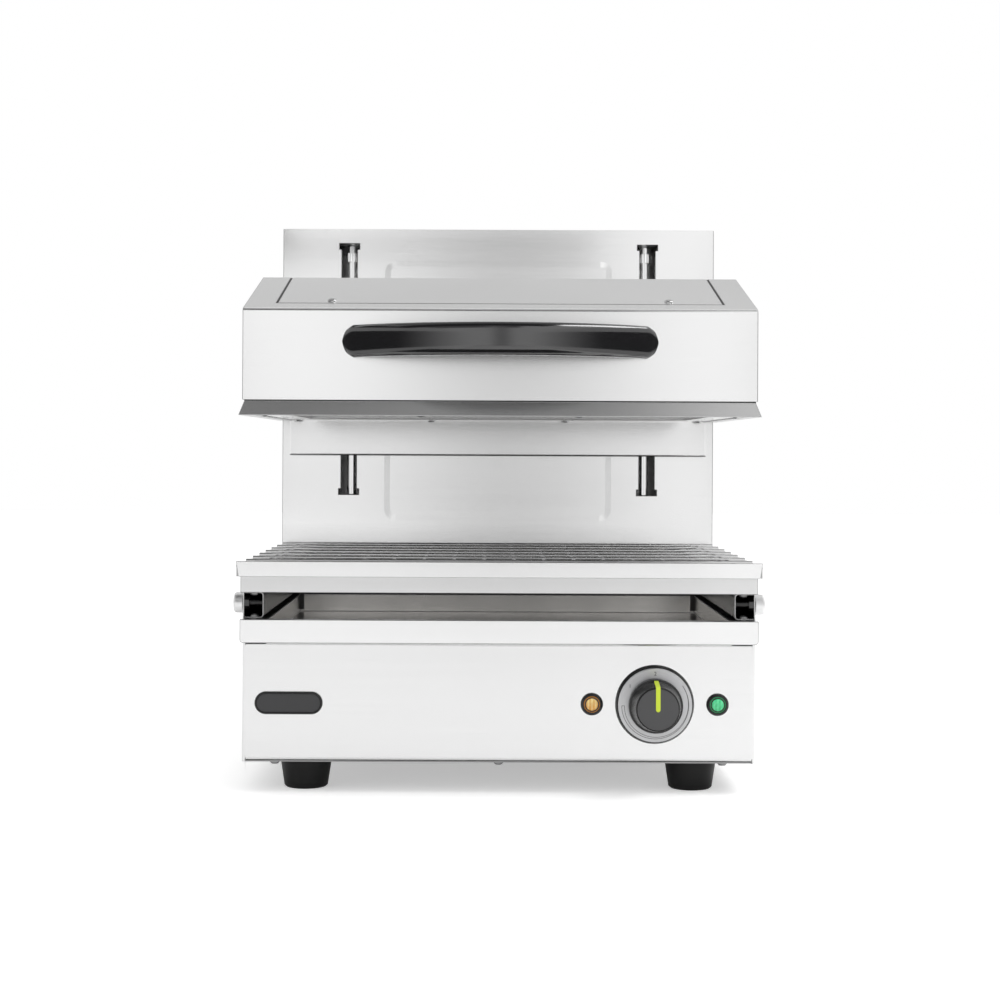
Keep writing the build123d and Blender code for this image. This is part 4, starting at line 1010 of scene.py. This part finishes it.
def softbox(name, start, end, width, target, watts):
    """Long area light between two points, aimed at a third."""
    place = (Vector(start) + Vector(end)) / 2
    along = Vector(end) - Vector(start)
    lamp = bpy.data.lights.new(name, "AREA")
    lamp.shape = "RECTANGLE"
    lamp.size = along.length
    lamp.size_y = width
    lamp.energy = watts
    back = (place - Vector(target)).normalized()
    side = (along - back * along.dot(back)).normalized()
    made = bpy.data.objects.new(name, lamp)
    made.location = place
    made.rotation_mode = "QUATERNION"
    made.rotation_quaternion = Matrix((side, back.cross(side), back)).transposed().to_quaternion()
    scene.collection.objects.link(made)


def sheet_cards():
    """Grey cards before, above and behind the part: bands in its upright and sloping sheet."""
    card("flag_front", place=(0.045, -2.6, 1.27), target=(0.045, 0, 1.27), width=0.64, height=2.25, axis="X",
         stops=[(-0.275, 1.0), (-0.06, 0.60), (0.045, 0.49), (0.15, 0.60), (0.365, 1.0)])
    card("flag_high", place=(-0.55, -1.60, 1.60), target=(-0.55, -0.18, 0.33), width=1.9, height=0.9,
         axis="X",
         stops=[(-1.5, 0.30), (-0.456, 0.22), (-0.285, 0.21), (-0.20, 0.38), (-0.085, 0.52), (-0.02, 0.32),
                (0.126, 0.30), (0.18, 0.17), (0.315, 0.17), (0.375, 0.75), (0.42, 1.0)])
    card("flag_top", place=(-0.3, -0.5, 2.00), target=(-0.3, -0.5, 0), width=2.4, height=1.9, axis="X",
         stops=[(-1.5, 0.36), (1.5, 0.40)])
    card("flag_back", place=(0, 1.60, 1.45), target=(0, -0.1, 0.44), width=3.0, height=1.4, axis="X",
         stops=[(-1.5, 0.58), (1.5, 0.55)])


def side_cards():
    """Cards at both sides: dark ends on the handle, and grey sides on the back panel's pressed field."""
    aside_x, middle_y, length = 0.34, -0.75, 1.3
    dark = [(-1.40, 1.0), (-0.95, 0.85), (-0.69, 0.60), (-0.55, 0.36), (-0.44, 0.14), (-0.38, 0.04),
            (-0.10, 0.03)]
    grey = [(-1.40, 1.0), (-0.90, 1.0), (-0.60, 0.80), (-0.40, 0.68), (-0.10, 0.68)]
    for side in (-1, 1):
        for name, z, height, stops in (("wing", 0.39, 0.14, dark), ("low_wing", 0.24, 0.16, grey),
                                       ("high_wing", 0.54, 0.14, grey)):
            card(f"{name}_{side}", place=(side * aside_x, middle_y, z), target=(0, middle_y, z),
                 width=length, height=height, axis="Y", stops=stops)


def handle_cards():
    """Black cards over and under the handle, for its dark upper and lower edges."""
    for name, (x, y, z), target_z, width, depth in (
            ("over_handle", (-0.135, -0.345, 0.56), 0, 0.53, 0.13),
            ("over_left", (-0.38, -0.22, 0.56), 0, 0.26, 0.18),
            ("under_handle", (-0.06, -0.40, 0.22), 1, 0.52, 0.22)):
        card(name, place=(x, y, z), target=(x, y, target_z), width=width, height=depth, axis="X",
             stops=[(-1, CARD_BLACK), (1, CARD_BLACK)])


def camera():
    """Level camera with the photograph's vanishing point and focal length."""
    lens = bpy.data.cameras.new("camera")
    lens.sensor_width = SENSOR_MM
    lens.lens = FOCAL_PIXELS * SENSOR_MM / PICTURE
    lens.shift_x = (PICTURE / 2 - VANISHING_X) / PICTURE
    lens.shift_y = (VANISHING_Y - PICTURE / 2) / PICTURE
    made = bpy.data.objects.new("camera", lens)
    made.location = (CAMERA_X, panel_y - CAMERA_DISTANCE, CAMERA_Z)
    made.rotation_euler = (math.pi / 2, CAMERA_ROLL, 0)
    scene.collection.objects.link(made)
    scene.camera = made


scene.view_settings.view_transform = "Standard"
floor()
studio_world()
softbox("key_right", start=(0.79, -0.96, 1.79), end=(1.28, 0.58, 1.20), width=0.42,
        target=(0.10, -0.32, 0.38), watts=13)
sheet_cards()
side_cards()
handle_cards()
camera()
